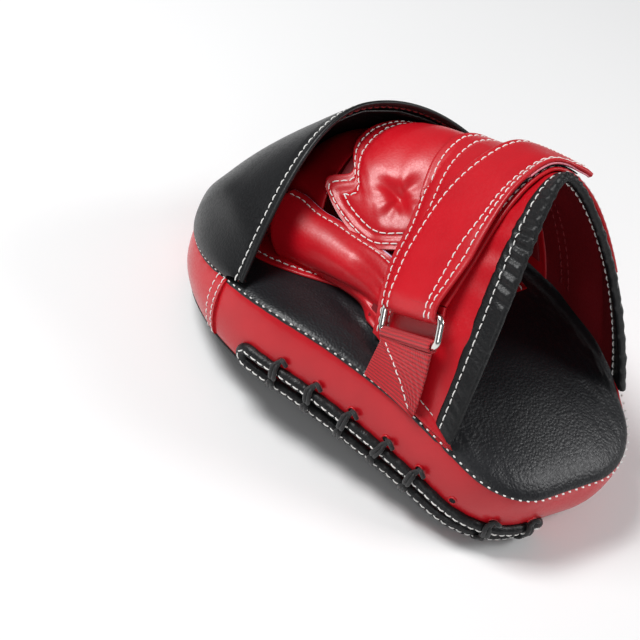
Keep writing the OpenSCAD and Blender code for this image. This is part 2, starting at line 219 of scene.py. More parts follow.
def level_map(x: Array, y: Array) -> Array:
    """Returns points of the plane at x and y, for ripples to read."""
    return np.stack([x, y, 0 * x], -1)


def groove(dist: Array, depth: float, width: float) -> Array:
    """Returns the dent that a row of stitches pulls, at a distance from it."""
    return -depth * np.exp(-(dist / width) ** 2)


def bezier(a: Array, b: Array, c: Array, d: Array, k: Array) -> Array:
    """Returns points of a cubic curve with ends a and d and handles b and c."""
    k = np.asarray(k)[..., None]
    return (1 - k) ** 3 * a + 3 * (1 - k) ** 2 * k * b + 3 * (1 - k) * k * k * c + k ** 3 * d


def keyed(k: Array, keys: Sequence[tuple[float, ...]]) -> Array:
    """Interpolates rows of (place, value, ...) smoothly at k.

    Args:
        k: Places to read.
        keys: Rows of a place followed by the values there.

    Returns:
        The values, with one last axis when a row has more than one.
    """
    rows = np.array(keys, float)
    x, y = rows[:, 0], rows[:, 1:]
    k = np.clip(np.asarray(k, float), x[0], x[-1])
    slope = np.gradient(y, x, axis=0)
    i = np.clip(np.searchsorted(x, k, side="right") - 1, 0, len(x) - 2)
    h = (x[i + 1] - x[i])[..., None]
    q = ((k - x[i]) / h[..., 0])[..., None]
    out = (y[i] * (1 + 2 * q) * (1 - q) ** 2 + y[i + 1] * q * q * (3 - 2 * q)
           + slope[i] * h * q * (1 - q) ** 2 - slope[i + 1] * h * q * q * (1 - q))
    return out[..., 0] if out.shape[-1] == 1 else out


def ripples(points: Array, size: float, seed: int, waves: int = 9) -> Array:
    """Returns a soft random height from about -1 to 1 over points.

    Args:
        points: Places in millimetres.
        size: Typical distance between two crests.
        seed: Fixed seed of the waves.
        waves: Number of waves summed.
    """
    rng = np.random.default_rng(seed)
    total = np.zeros(points.shape[:-1])
    for _ in range(waves):
        direction = unit(rng.normal(size=3))
        pace = 2 * np.pi / (size * rng.uniform(0.7, 1.6))
        total += np.sin(points @ direction * pace + rng.uniform(0, 6.283))
    return total / np.sqrt(waves)


# ---------------------------------------------------------------- the mitt's form

@dataclass(frozen=True)
class PadForm:
    """The curved pad: x across, s along its arch, h over its middle layer, in millimetres."""

    length: float = 250.0
    width: float = 194.0
    corner: float = 40.0
    flat: float = 32.0
    radius: float = 299.0
    wrist_t: float = 40.0
    heel_t: float = 45.0
    finger_t: float = 26.0
    bulge: float = 2.6
    rest: float = 1.2

    def thickness(self, s: Array) -> Array:
        """Returns the pad's thickness at s."""
        half = self.length / 2
        return np.interp(s, [-half, -60, 0, 60, half],
                         [self.wrist_t, self.heel_t, 0.91 * self.heel_t, self.finger_t + 4, self.finger_t])

    def arched(self, x: Array, s: Array, h: Array) -> Array:
        """Returns points before the pad is levelled."""
        x, s, h = np.broadcast_arrays(x, s, h)
        a = s / self.radius
        return np.stack([x, (self.radius + h) * np.sin(a), (self.radius + h) * np.cos(a) - self.radius], -1)

    @cached_property
    def level(self) -> float:
        """The angle that brings both ends of the face to one height."""
        half = self.length / 2
        d = self.arched(0, half, -self.finger_t / 2) - self.arched(0, -half, -self.wrist_t / 2)
        return float(np.arctan2(d[2], d[1]))

    def levelled(self, p: Array) -> Array:
        """Returns p turned by the levelling angle."""
        c, s = np.cos(self.level), np.sin(self.level)
        return np.stack([p[..., 0], p[..., 1] * c + p[..., 2] * s, p[..., 2] * c - p[..., 1] * s], -1)

    @cached_property
    def shift(self) -> tuple[float, float]:
        """How far the levelled pad moves along y and z onto its origin."""
        half = self.length / 2
        top_f = self.levelled(self.arched(0, half, self.finger_t / 2))
        top_w = self.levelled(self.arched(0, -half, self.wrist_t / 2))
        foot = self.levelled(self.arched(0, half, -self.finger_t / 2))
        return -float(top_f[1] + top_w[1]) / 2, -float(foot[2]) - self.rest

    def bend(self, x: Array, s: Array, h: Array) -> Array:
        """Returns points in the mitt's frame."""
        p = self.levelled(self.arched(x, s, h))
        y, z = p[..., 1] + self.shift[0], p[..., 2] + self.shift[1]
        return np.stack([p[..., 0], y, np.maximum(z, 0)], -1)

    def on_back(self, x: Array, s: Array, h: Array) -> Array:
        """Returns points h above the pad's back."""
        return self.bend(x, s, self.thickness(s) / 2 + h)

    def on_face(self, x: Array, s: Array, h: Array) -> Array:
        """Returns points h inside the striking face; a negative h is outside."""
        return self.bend(x, s, -self.thickness(s) / 2 + h)

    @cached_property
    def arcs(self) -> dict[str, float]:
        """The outline's angles and distances along one half."""
        r, c = self.width / 2, self.corner
        finger_y = self.length / 2 - r
        wrist_x, wrist_y = self.flat / 2, c - self.length / 2
        span = np.hypot(wrist_x, wrist_y - finger_y)
        angle = np.arctan2(wrist_y - finger_y, wrist_x) + np.arccos((r - c) / span)
        d_side = wrist_x + c * (np.pi / 2 + angle)
        d_finger = d_side + np.sqrt(span ** 2 - (r - c) ** 2)
        return dict(r=r, finger_y=finger_y, wrist_x=wrist_x, wrist_y=wrist_y, angle=angle,
                    d_side=d_side, d_finger=d_finger, end=d_finger + r * (np.pi / 2 - angle))

    def rim(self, e: Array, inset: Array = 0.0) -> tuple[Array, Array]:
        """Returns x and s on the outline.

        Args:
            e: Distance along it from the middle of the wrist end, negative on the -X side.
            inset: Distance inwards from it.
        """
        a = self.arcs
        e = np.asarray(e, float)
        d, side = np.abs(e), np.where(e < 0, -1.0, 1.0)
        turn = np.where(d < a["d_side"], -np.pi / 2 + np.maximum(d - a["wrist_x"], 0) / self.corner,
                        a["angle"] + np.maximum(d - a["d_finger"], 0) / a["r"])
        nx, ny = np.cos(turn), np.sin(turn)
        run = np.clip(d - a["d_side"], 0, a["d_finger"] - a["d_side"])
        wx = np.minimum(d, a["wrist_x"]) + self.corner * nx - run * np.sin(a["angle"])
        wy = a["wrist_y"] + self.corner * ny + run * np.cos(a["angle"])
        on_finger = d > a["d_finger"]
        x = np.where(on_finger, a["r"] * nx, wx) - inset * nx
        s = np.where(on_finger, a["finger_y"] + a["r"] * ny, wy) - inset * ny
        return side * x, s

    def inside(self, x: Array, s: Array) -> Array:
        """Returns the distance from the outline, inwards."""
        a = self.arcs
        best = np.full(np.broadcast(x, s).shape, 1e9)
        for t in np.linspace(0, 2 * np.pi, 96, endpoint=False):
            n = np.array([np.cos(t), np.sin(t)])
            reach = max(a["finger_y"] * n[1] + a["r"],
                        a["wrist_x"] * abs(n[0]) + a["wrist_y"] * n[1] + self.corner)
            best = np.minimum(best, reach - x * n[0] - s * n[1])
        return best

    def wall(self, e: Array, f: Array, off: Array) -> Array:
        """Returns points on the side wall, f from 0 at the face seam to 1 at the back seam."""
        x, s = self.rim(e, -np.asarray(off))
        t = self.thickness(s)
        return self.bend(x, s, mix(-t / 2 + 2.0, t / 2 - 2.5, f))

    def swollen(self, f: Array) -> Array:
        """Returns how far the wall stands out at f."""
        return self.bulge * 4 * f * (1 - f)


@dataclass(frozen=True)
class GloveForm:
    """The glove's arch in the hand's tilted frame: t runs from the fingers to the wrist."""

    pad: PadForm
    tilt: float = np.radians(25)
    foot_lift: float = 2.9
    edge_t: float = -20.0
    cover_t: float = 18.0
    cuff_t: float = 80.0
    leather: float = 1.4
    binding: float = 7.0
    stations: tuple[tuple[float, ...], ...] = (
        (-20, -52, -60, 34, -36, 76, 2, 76, 30, 78, 56, 50, 57),
        (18, -56, -44, 14, -12, 62, 14, 68, 40, 70, 62, 40, 62),
        (61, -57, -52, 22, -30, 58, 12, 67, 36, 68, 58, 30, 60),
        (80, -57, -48, 0, -16, 78, 0, 78, 14, 78, 42, 20, 56),
    )

    def hand(self, x: Array, t: Array, z: Array) -> Array:
        """Returns points of the hand's frame in the mitt's frame."""
        c, s = np.cos(self.tilt), np.sin(self.tilt)
        return self.pad.on_back(x, z * s - t * c, t * s + z * c)

    def foot_z(self, t: Array) -> Array:
        """Returns the height at which the arch meets the pad's back."""
        return (self.foot_lift - t * np.sin(self.tilt)) / np.cos(self.tilt)

    def section(self, t: Array, u: Array) -> Array:
        """Returns x and z of the arch at t and u."""
        t, u = pair(t, u)
        rows = np.array(self.stations)
        i = np.where(t < rows[1, 0], 0, np.where(t < rows[2, 0], 1, 2))
        k = ((t - rows[i, 0]) / (rows[i + 1, 0] - rows[i, 0]))[..., None]
        s = mix(rows[i], rows[i + 1], k)
        foot = self.foot_z(t)
        near = np.stack([s[..., 1], foot], -1)
        far = np.stack([s[..., 12], foot], -1)
        first = bezier(near, s[..., 2:4], s[..., 4:6], s[..., 6:8], 2 * u)
        second = bezier(s[..., 6:8], s[..., 8:10], s[..., 10:12], far, 2 * u - 1)
        return np.where((u < 0.5)[..., None], first, second)

    def arch(self, t: Array, u: Array) -> Array:
        """Returns points of the arch: u from the near foot over the crown to the far foot."""
        p = self.section(t, u)
        return self.hand(p[..., 0], np.asarray(t, float), p[..., 1])


@dataclass(frozen=True)
class StrapForm:
    """The ring's frame and the strap's lines: k is 0 at the ring, w is 0 at the finger edge."""

    glove: GloveForm
    wire: float = 3.5
    inside: float = 38.4
    bars: float = 14.0
    thick: float = 1.8
    elastic: float = 1.2
    pin: float = 0.05
    reach_k: float = 0.16
    glove_u: tuple[float, float] = (0.19, 0.26)
    tail_u: float = 0.60
    base_u: float = 0.84
    slant: float = 0.045
    fold_end: float = 4.6
    split: float = 0.5
    base_lift: float = 2.5
    patch: float = 0.6

    @cached_property
    def axes(self) -> tuple[Array, Array, Array, Array]:
        """The upper bar's middle and the directions along the bars, up the ring and out of it."""
        hand = self.glove.hand
        fingers, wrist = hand(-55, 32, 8.5), hand(-57, 66, 17.5)
        low = (hand(-58, 32, -4) + hand(-62, 66, 3)) / 2
        upper = (fingers + wrist) / 2
        b = unit(fingers - wrist)
        down = low - upper
        up = -unit(down - (down @ b) * b)
        return upper, b, up, np.cross(up, b)

    @property
    def width(self) -> float:
        """The strap's width."""
        return self.inside - 2.4

    @property
    def layer(self) -> float:
        """Distance of the strap's layers from the bar's middle."""
        return self.wire / 2 + self.pin

    @property
    def tail_lift(self) -> float:
        """Height of the tail's underside over the glove."""
        return self.base_lift + self.thick + 2 * self.patch + 1.1

    def ring(self, across: Array, out: Array, up: Array) -> Array:
        """Returns points in the ring's frame."""
        o, b, u, n = self.axes
        across, out, up = np.broadcast_arrays(across, out, up)
        return o + across[..., None] * b + out[..., None] * n + up[..., None] * u

    def edge_t(self, u: Array, w: Array) -> Array:
        """Returns t of the strap at u and w."""
        k = np.interp(u, [0.15, 0.5], [0, 1])
        return mix(mix(29, 40, k), mix(62, 69, k), w)

    def line(self, k: Array, w: Array, out: float, end_u: float, slant: float, lift: Array) -> Array:
        """Returns points of a strap layer from the ring to its end on the glove."""
        k, w, lift = pair(k, w, lift)
        arch = self.glove.arch
        along = np.maximum(k - self.reach_k, 0) / (1 - self.reach_k)
        u = mix(mix(self.glove_u[0], self.glove_u[1], w), end_u + slant * (w - 0.5), along)
        t = self.edge_t(u, w)
        du = arch(t, u + 0.002) - arch(t, u - 0.002)
        dt = arch(t + 0.5, u) - arch(t - 0.5, u)
        over = arch(t, u) + lift[..., None] * unit(np.cross(dt, du))
        held = self.ring((0.5 - w) * self.width, out, self.fold_end)
        blend = np.clip(k / self.reach_k, 0, 1)[..., None]
        return mix(held, over, blend)

    def base(self, k: Array, w: Array) -> Array:
        """Returns the lower layer's underside."""
        return self.line(k, w, -self.layer - self.thick, self.base_u, 0.0, self.base_lift)

    def tail(self, k: Array, w: Array, lift: float = 0.0) -> Array:
        """Returns the tail's underside, or a point lift above it."""
        return self.line(k, w, self.layer + lift, self.tail_u, self.slant, self.tail_lift + lift)


# ---------------------------------------------------------------- finishes

class Hue(Enum):
    """Leather, thread and cloth colours, as linear red, green and blue."""

    RED = (0.53, 0.003, 0.011)
    # The linings' dark red; also used as painted shade on the stitch rows inside the hood and the cuff.
    DARK_RED = (0.20, 0.004, 0.009)
    BLACK = (0.006, 0.0062, 0.007)
    SOFT_BLACK = (0.0095, 0.010, 0.012)
    WHITE = (0.86, 0.85, 0.82)
    LILAC = (0.60, 0.46, 0.66)
    PINK = (0.72, 0.24, 0.30)
    DISC = (0.60, 0.66, 0.74)
    FOAM = (0.10, 0.10, 0.11)
    NICKEL = (0.74, 0.73, 0.70)


def socket(tree: bpy.types.NodeTree, name: str, kind: str, way: str, value=None) -> None:
    """Adds one input or output to a node group.

    Args:
        tree: The group.
        name: The socket's name.
        kind: Its type, such as Float or Color.
        way: INPUT or OUTPUT.
        value: Its default.
    """
    s = tree.interface.new_socket(name=name, in_out=way, socket_type="NodeSocket" + kind)
    if value is not None:
        s.default_value = value


class Wiring:
    """Adds and joins the nodes of one tree."""

    def __init__(self, tree: bpy.types.NodeTree) -> None:
        """Keeps the tree to work on."""
        self.tree = tree
        self.count = 0

    def add(self, kind: str, settings: Optional[dict] = None, **inputs) -> bpy.types.Node:
        """Adds a node, sets its properties and fills its inputs.

        Args:
            kind: The node's type name.
            settings: Properties of the node.
            **inputs: Values or sockets by input name; a leading underscore and number means index.

        Returns:
            The new node.
        """
        node = self.tree.nodes.new(kind)
        node.location = (200 * (self.count % 8), -220 * (self.count // 8))
        self.count += 1
        for k, v in (settings or {}).items():
            setattr(node, k, v)
        for k, v in inputs.items():
            target = node.inputs[int(k[1:])] if k[0] == "_" else node.inputs[k.replace("_", " ")]
            if isinstance(v, bpy.types.NodeSocket):
                self.tree.links.new(v, target)
            elif isinstance(v, bpy.types.Node):
                self.tree.links.new(v.outputs[0], target)
            else:
                target.default_value = v
        return node

    def math(self, operation: str, *values) -> bpy.types.Node:
        """Adds a Math node on the given values or sockets."""
        node = self.add("ShaderNodeMath", {"operation": operation},
                        **{f"_{i}": v for i, v in enumerate(values)})
        return node

    def ramp(self, source, low: float, high: float, start: float = 0.0,
             stop: float = 1.0) -> bpy.types.Node:
        """Adds a clamped Map Range node."""
        return self.add("ShaderNodeMapRange", None, Value=source, From_Min=low, From_Max=high,
                        To_Min=start, To_Max=stop)


def grain_group() -> bpy.types.NodeTree:
    """Builds the leather grain group: pebbles and creases as a normal, and a mask of their valleys."""
    tree = bpy.data.node_groups.new("leather_grain", "ShaderNodeTree")
    socket(tree, "Pebble Size", "Float", "INPUT", 1.1)
    socket(tree, "Pebble Depth", "Float", "INPUT", 0.2)
    socket(tree, "Crease Size", "Float", "INPUT", 14.0)
    socket(tree, "Crease Depth", "Float", "INPUT", 0.2)
    socket(tree, "Normal", "Vector", "OUTPUT")
    socket(tree, "Valleys", "Float", "OUTPUT")
    socket(tree, "Clouds", "Float", "OUTPUT")
    w = Wiring(tree)
    inp = w.add("NodeGroupInput")
    coords = w.add("ShaderNodeTexCoord").outputs["Object"]
    bent = w.add("ShaderNodeTexNoise", {"noise_dimensions": "3D"}, Vector=coords, Scale=160.0, Detail=2.0)
    nudge = w.add("ShaderNodeVectorMath", {"operation": "SCALE"}, _0=bent.outputs["Color"], Scale=0.0012)
    warped = w.add("ShaderNodeVectorMath", {"operation": "ADD"}, _0=coords, _1=nudge.outputs[0])
    pace = w.math("DIVIDE", 1000.0, inp.outputs["Pebble Size"])
    pebble = w.add("ShaderNodeTexVoronoi", {"feature": "SMOOTH_F1"}, Vector=warped.outputs[0],
                   Scale=pace.outputs[0], Smoothness=0.6)
    slow = w.math("DIVIDE", 1000.0, inp.outputs["Crease Size"])
    crease = w.add("ShaderNodeTexNoise", {"noise_type": "RIDGED_MULTIFRACTAL"}, Vector=warped.outputs[0],
                   Scale=slow.outputs[0], Detail=3.0, Roughness=0.55)
    ridge = w.ramp(crease.outputs[0], 0.9, 2.2)
    cloud = w.add("ShaderNodeTexNoise", None, Vector=coords, Scale=28.0, Detail=3.0)
    first = w.add("ShaderNodeBump", None, Strength=inp.outputs["Pebble Depth"], Distance=0.0006,
                  Height=pebble.outputs["Distance"])
    second = w.add("ShaderNodeBump", {"invert": True}, Strength=inp.outputs["Crease Depth"],
                   Distance=0.0012, Height=ridge.outputs[0], Normal=first.outputs[0])
    valley = w.ramp(pebble.outputs["Distance"], 0.25, 0.75)
    out = w.add("NodeGroupOutput")
    tree.links.new(second.outputs[0], out.inputs["Normal"])
    tree.links.new(valley.outputs[0], out.inputs["Valleys"])
    tree.links.new(cloud.outputs[0], out.inputs["Clouds"])
    return tree


def rib_group() -> bpy.types.NodeTree:
    """Builds the webbing group: woven ribs along V and yarns along U, as a normal, and a mask of the hollows between
    them that the webbing darkens as painted shade.
    """
    tree = bpy.data.node_groups.new("webbing_weave", "ShaderNodeTree")
    socket(tree, "Rib Pitch", "Float", "INPUT", 1.6)
    socket(tree, "Yarn Pitch", "Float", "INPUT", 0.7)
    socket(tree, "Depth", "Float", "INPUT", 0.5)
    socket(tree, "Normal", "Vector", "OUTPUT")
    socket(tree, "Gaps", "Float", "OUTPUT")
    w = Wiring(tree)
    inp = w.add("NodeGroupInput")
    uv = w.add("ShaderNodeTexCoord").outputs["UV"]
    axes = w.add("ShaderNodeSeparateXYZ", None, Vector=uv)
    waves = []
    for axis, name in ((0, "Rib Pitch"), (1, "Yarn Pitch")):
        turns = w.math("DIVIDE", axes.outputs[axis], inp.outputs[name])
        angle = w.math("MULTIPLY", turns.outputs[0], 2000.0 * np.pi)
        waves.append(w.math("SINE", angle.outputs[0]))
    both = w.math("MULTIPLY_ADD", waves[1].outputs[0], 0.35, waves[0].outputs[0])
    bump = w.add("ShaderNodeBump", None, Strength=inp.outputs["Depth"], Distance=0.0005,
                 Height=both.outputs[0])
    # Mask of the weave's hollows; the webbing paints them darker as shade and rougher.
    gaps = w.ramp(both.outputs[0], -1.2, 0.2, 1.0, 0.0)
    out = w.add("NodeGroupOutput")
    tree.links.new(bump.outputs[0], out.inputs["Normal"])
    tree.links.new(gaps.outputs[0], out.inputs["Gaps"])
    return tree


def wear_group() -> bpy.types.NodeTree:
    """Builds the seam wear group: a mask that grows towards a piece's seams, broken by noise."""
    tree = bpy.data.node_groups.new("seam_wear", "ShaderNodeTree")
    socket(tree, "Amount", "Float", "INPUT", 0.5)
    socket(tree, "Mask", "Float", "OUTPUT")
    w = Wiring(tree)
    inp = w.add("NodeGroupInput")
    seam = w.add("ShaderNodeAttribute", {"attribute_name": "seam"})
    coords = w.add("ShaderNodeTexCoord").outputs["Object"]
    noise = w.add("ShaderNodeTexNoise", None, Vector=coords, Scale=420.0, Detail=3.0)
    broken = w.ramp(noise.outputs[0], 0.35, 0.7, 0.4, 1.0)
    mask = w.math("MULTIPLY", seam.outputs["Fac"], broken.outputs[0])
    scaled = w.math("MULTIPLY", mask.outputs[0], inp.outputs["Amount"])
    out = w.add("NodeGroupOutput")
    tree.links.new(scaled.outputs[0], out.inputs["Mask"])
    return tree


@dataclass(frozen=True)
class Groups:
    """The shader groups that several finishes share."""

    grain: bpy.types.NodeTree
    ribs: bpy.types.NodeTree
    wear: bpy.types.NodeTree


@dataclass(frozen=True)
class Leather:
    """A coated leather: smooth or pebbled, with a gloss and soft creases."""

    name: str
    hue: Hue
    rough: float = 0.32
    pebble: float = 0.15
    pebble_size: float = 1.1
    crease: float = 0.2
    crease_size: float = 14.0
    coat: float = 0.25
    wear: float = 0.5
    diagonal: float = 0.0
    gloss: float = 0.36

    def make(self, groups: Groups) -> bpy.types.Material:
        """Builds the material."""
        mat, w, shader = blank(self.name)
        g = w.add("ShaderNodeGroup", {"node_tree": groups.grain}, Pebble_Size=self.pebble_size,
                  Pebble_Depth=self.pebble, Crease_Size=self.crease_size, Crease_Depth=self.crease)
        worn = w.add("ShaderNodeGroup", {"node_tree": groups.wear}, Amount=self.wear)
        base = np.array(self.hue.value)
        dark = tint(base * 0.72)
        light = tint(np.minimum(base * 1.12 + 0.002, 1))
        spots = w.ramp(g.outputs["Clouds"], 0.35, 0.65)
        cloud = w.add("ShaderNodeMix", {"data_type": "RGBA"}, _0=spots.outputs[0],
                      _6=tint(base * 0.94), _7=light)
        seamed = w.add("ShaderNodeMix", {"data_type": "RGBA"}, _0=worn.outputs[0],
                       _6=cloud.outputs[2], _7=dark)
        w.tree.links.new(seamed.outputs[2], shader.inputs["Base Color"])
        rough = w.ramp(g.outputs["Valleys"], 0.0, 1.0, self.rough, self.rough + 0.12)
        spread = w.math("MULTIPLY_ADD", worn.outputs[0], 0.18, rough.outputs[0])
        w.tree.links.new(spread.outputs[0], shader.inputs["Roughness"])
        normal = g.outputs["Normal"]
        if self.diagonal:
            coords = w.add("ShaderNodeTexCoord").outputs["Object"]
            turned = w.add("ShaderNodeMapping", None, Vector=coords, Rotation=(0, 0, self.diagonal))
            stripe = w.add("ShaderNodeTexWave", {"bands_direction": "X"}, Vector=turned.outputs[0],
                           Scale=210.0, Distortion=1.6, Detail=2.0, Detail_Scale=2.5)
            normal = w.add("ShaderNodeBump", None, Strength=0.35, Distance=0.0004,
                           Height=stripe.outputs["Fac"], Normal=normal).outputs[0]
        w.tree.links.new(normal, shader.inputs["Normal"])
        shader.inputs["Coat Weight"].default_value = self.coat
        shader.inputs["Coat Roughness"].default_value = 0.22
        shader.inputs["Specular IOR Level"].default_value = self.gloss
        return mat


@dataclass(frozen=True)
class Webbing:
    """A woven band: ribs across it and yarns along it."""

    name: str
    hue: Hue
    pitch: float = 1.6
    depth: float = 0.5

    def make(self, groups: Groups) -> bpy.types.Material:
        """Builds the material."""
        mat, w, shader = blank(self.name)
        g = w.add("ShaderNodeGroup", {"node_tree": groups.ribs}, Rib_Pitch=self.pitch, Depth=self.depth)
        base = np.array(self.hue.value)
        # Darker colour in the gaps between ribs: painted shade in the weave's hollows.
        mixed = w.add("ShaderNodeMix", {"data_type": "RGBA"}, _0=g.outputs["Gaps"],
                      _6=tint(np.minimum(base * 1.05, 1)), _7=tint(base * 0.55))
        w.tree.links.new(mixed.outputs[2], shader.inputs["Base Color"])
        rough = w.ramp(g.outputs["Gaps"], 0, 1, 0.55, 0.85)
        w.tree.links.new(rough.outputs[0], shader.inputs["Roughness"])
        w.tree.links.new(g.outputs["Normal"], shader.inputs["Normal"])
        shader.inputs["Sheen Weight"].default_value = 0.25
        return mat


@dataclass(frozen=True)
class Plain:
    """Thread, cut edge, print, foam, hook tape or metal: a fine speckle of colour and bump."""

    name: str
    hue: Hue
    rough: float = 0.6
    speckle: float = 900.0
    contrast: float = 0.18
    bump: float = 0.2
    metallic: float = 0.0
    sheen: float = 0.0

    def make(self, groups: Groups) -> bpy.types.Material:
        """Builds the material."""
        mat, w, shader = blank(self.name)
        coords = w.add("ShaderNodeTexCoord").outputs["Object"]
        noise = w.add("ShaderNodeTexNoise", None, Vector=coords, Scale=self.speckle, Detail=3.0)
        base = np.array(self.hue.value)
        fac = w.ramp(noise.outputs[0], 0.3, 0.7)
        mixed = w.add("ShaderNodeMix", {"data_type": "RGBA"}, _0=fac.outputs[0],
                      _6=tint(base * (1 - self.contrast)),
                      _7=tint(np.minimum(base * (1 + self.contrast), 1)))
        w.tree.links.new(mixed.outputs[2], shader.inputs["Base Color"])
        rough = w.ramp(noise.outputs[0], 0.3, 0.7, self.rough * 0.85, min(self.rough * 1.15, 1))
        w.tree.links.new(rough.outputs[0], shader.inputs["Roughness"])
        bump = w.add("ShaderNodeBump", None, Strength=self.bump, Distance=0.0003, Height=noise.outputs[0])
        w.tree.links.new(bump.outputs[0], shader.inputs["Normal"])
        shader.inputs["Metallic"].default_value = self.metallic
        shader.inputs["Sheen Weight"].default_value = self.sheen
        return mat


def tint(rgb: Array) -> tuple[float, float, float, float]:
    """Returns an opaque colour for a socket."""
    return float(rgb[0]), float(rgb[1]), float(rgb[2]), 1.0


def blank(name: str) -> tuple[bpy.types.Material, Wiring, bpy.types.Node]:
    """Returns a new material, its wiring and its Principled BSDF."""
    mat = bpy.data.materials.new(name)
    mat.use_nodes = True
    return mat, Wiring(mat.node_tree), mat.node_tree.nodes["Principled BSDF"]


class Finishes:
    """Every finish of the mitt, built once."""

    def __init__(self) -> None:
        """Builds the shared groups and the materials."""
        groups = Groups(grain_group(), rib_group(), wear_group())
        kinds = (
            Leather("wall_red", Hue.RED, rough=0.30, pebble=0.05, crease=0.10, crease_size=40, coat=0.3),
            Leather("glove_red", Hue.RED, rough=0.33, pebble=0.07, crease=0.16, crease_size=24, coat=0.25),
            Leather("face_black", Hue.BLACK, rough=0.46, pebble=0.30, pebble_size=0.9, crease=0.06,
                    coat=0.0, wear=0.2, diagonal=0.7, gloss=0.3),
            Leather("back_black", Hue.SOFT_BLACK, rough=0.37, pebble=0.34, pebble_size=1.3, crease=0.34,
                    crease_size=9, coat=0.05, wear=0.2, gloss=0.42),
            Leather("hood_black", Hue.BLACK, rough=0.31, pebble=0.10, crease=0.12, crease_size=36, coat=0.0,
                    gloss=0.36),
            Leather("binding_black", Hue.BLACK, rough=0.36, pebble=0.25, crease=0.5, crease_size=7,
                    coat=0.0, gloss=0.36),
            Leather("lining_red", Hue.DARK_RED, rough=0.55, pebble=0.12, crease=0.15, coat=0.0),
            Webbing("elastic_red", Hue.RED),
            Plain("thread_white", Hue.WHITE, rough=0.62, contrast=0.06, speckle=1600, sheen=0.3),
            # Dark red thread for the stitch rows inside the hood and the cuff: painted shade for the shadow over them.
            Plain("thread_dark", Hue.DARK_RED, rough=0.7, contrast=0.2, speckle=1600),
            Plain("cut_edge", Hue.LILAC, rough=0.7, contrast=0.15),
            Plain("lace_black", Hue.BLACK, rough=0.62, contrast=0.3, bump=0.5, speckle=1400, sheen=0.2),
            # Flat dark fill for the punched holes: painted shade for the shadow inside them.
            Plain("hole_shade", Hue.BLACK, rough=0.9, contrast=0.1),
            Plain("hook_pink", Hue.PINK, rough=0.8, contrast=0.35, bump=0.9, speckle=1300, sheen=0.2),
            Plain("loop_black", Hue.SOFT_BLACK, rough=0.9, contrast=0.4, bump=0.9, speckle=1300, sheen=0.4),
            Plain("print_white", Hue.WHITE, rough=0.42, contrast=0.02, bump=0.06),
            Plain("print_grey", Hue.DISC, rough=0.5, contrast=0.07, bump=0.25, speckle=700),
            Plain("foam_grey", Hue.FOAM, rough=0.9, contrast=0.3, bump=0.8),
            Plain("nickel", Hue.NICKEL, rough=0.14, contrast=0.03, bump=0.04, metallic=1.0, speckle=120),
        )
        self.made = {k.name: k.make(groups) for k in kinds}

    def __getitem__(self, name: str) -> bpy.types.Material:
        """Returns a finish by name."""
        return self.made[name]


# ---------------------------------------------------------------- mesh building

def mesh_object(name: str, points: Array, faces: list, material: bpy.types.Material,
                uv: Optional[Array] = None, seam: Optional[Array] = None,
                sharp: Optional[float] = SHARP) -> bpy.types.Object:
    """Makes a mesh object from points in millimetres.

    Args:
        name: The piece's name.
        points: One row for each vertex.
        faces: Vertex numbers of each face.
        material: The piece's finish.
        uv: A pair in metres for each vertex.
        seam: Nearness to a seam for each vertex, from 0 to 1.
        sharp: Angle past which an edge is drawn sharp, or None.

    Returns:
        The linked object.
    """
    mesh = bpy.data.meshes.new(name)
    mesh.from_pydata((points * MM).tolist(), [], faces)
    mesh.polygons.foreach_set("use_smooth", [True] * len(mesh.polygons))
    if uv is not None:
        layer = mesh.uv_layers.new(name="uv")
        index = np.empty(len(mesh.loops), int)
        mesh.loops.foreach_get("vertex_index", index)
        layer.data.foreach_set("uv", uv[index].astype(np.float32).ravel())
    mesh.attributes.new("seam", "FLOAT", "POINT").data.foreach_set(
        "value", (np.zeros(len(points)) if seam is None else seam).astype(np.float32))
    mesh.materials.append(material)
    work = bmesh.new()
    work.from_mesh(mesh)
    bmesh.ops.remove_doubles(work, verts=work.verts, dist=2e-6)
    bmesh.ops.recalc_face_normals(work, faces=work.faces)
    work.to_mesh(mesh)
    work.free()
    if sharp is not None:
        mesh.set_sharp_from_angle(angle=sharp)
    obj = bpy.data.objects.new(name, mesh)
    bpy.context.scene.collection.objects.link(obj)
    return obj


def grid_faces(m: int, n: int, wrap: bool) -> list[tuple[int, ...]]:
    """Returns the quads of m rings of n points; wrap joins each ring's ends."""
    a = np.arange(m - 1)[:, None] * n
    j = np.arange(n if wrap else n - 1)[None, :]
    k = (j + 1) % n
    return np.stack([a + j, a + n + j, a + n + k, a + k], -1).reshape(-1, 4).tolist()


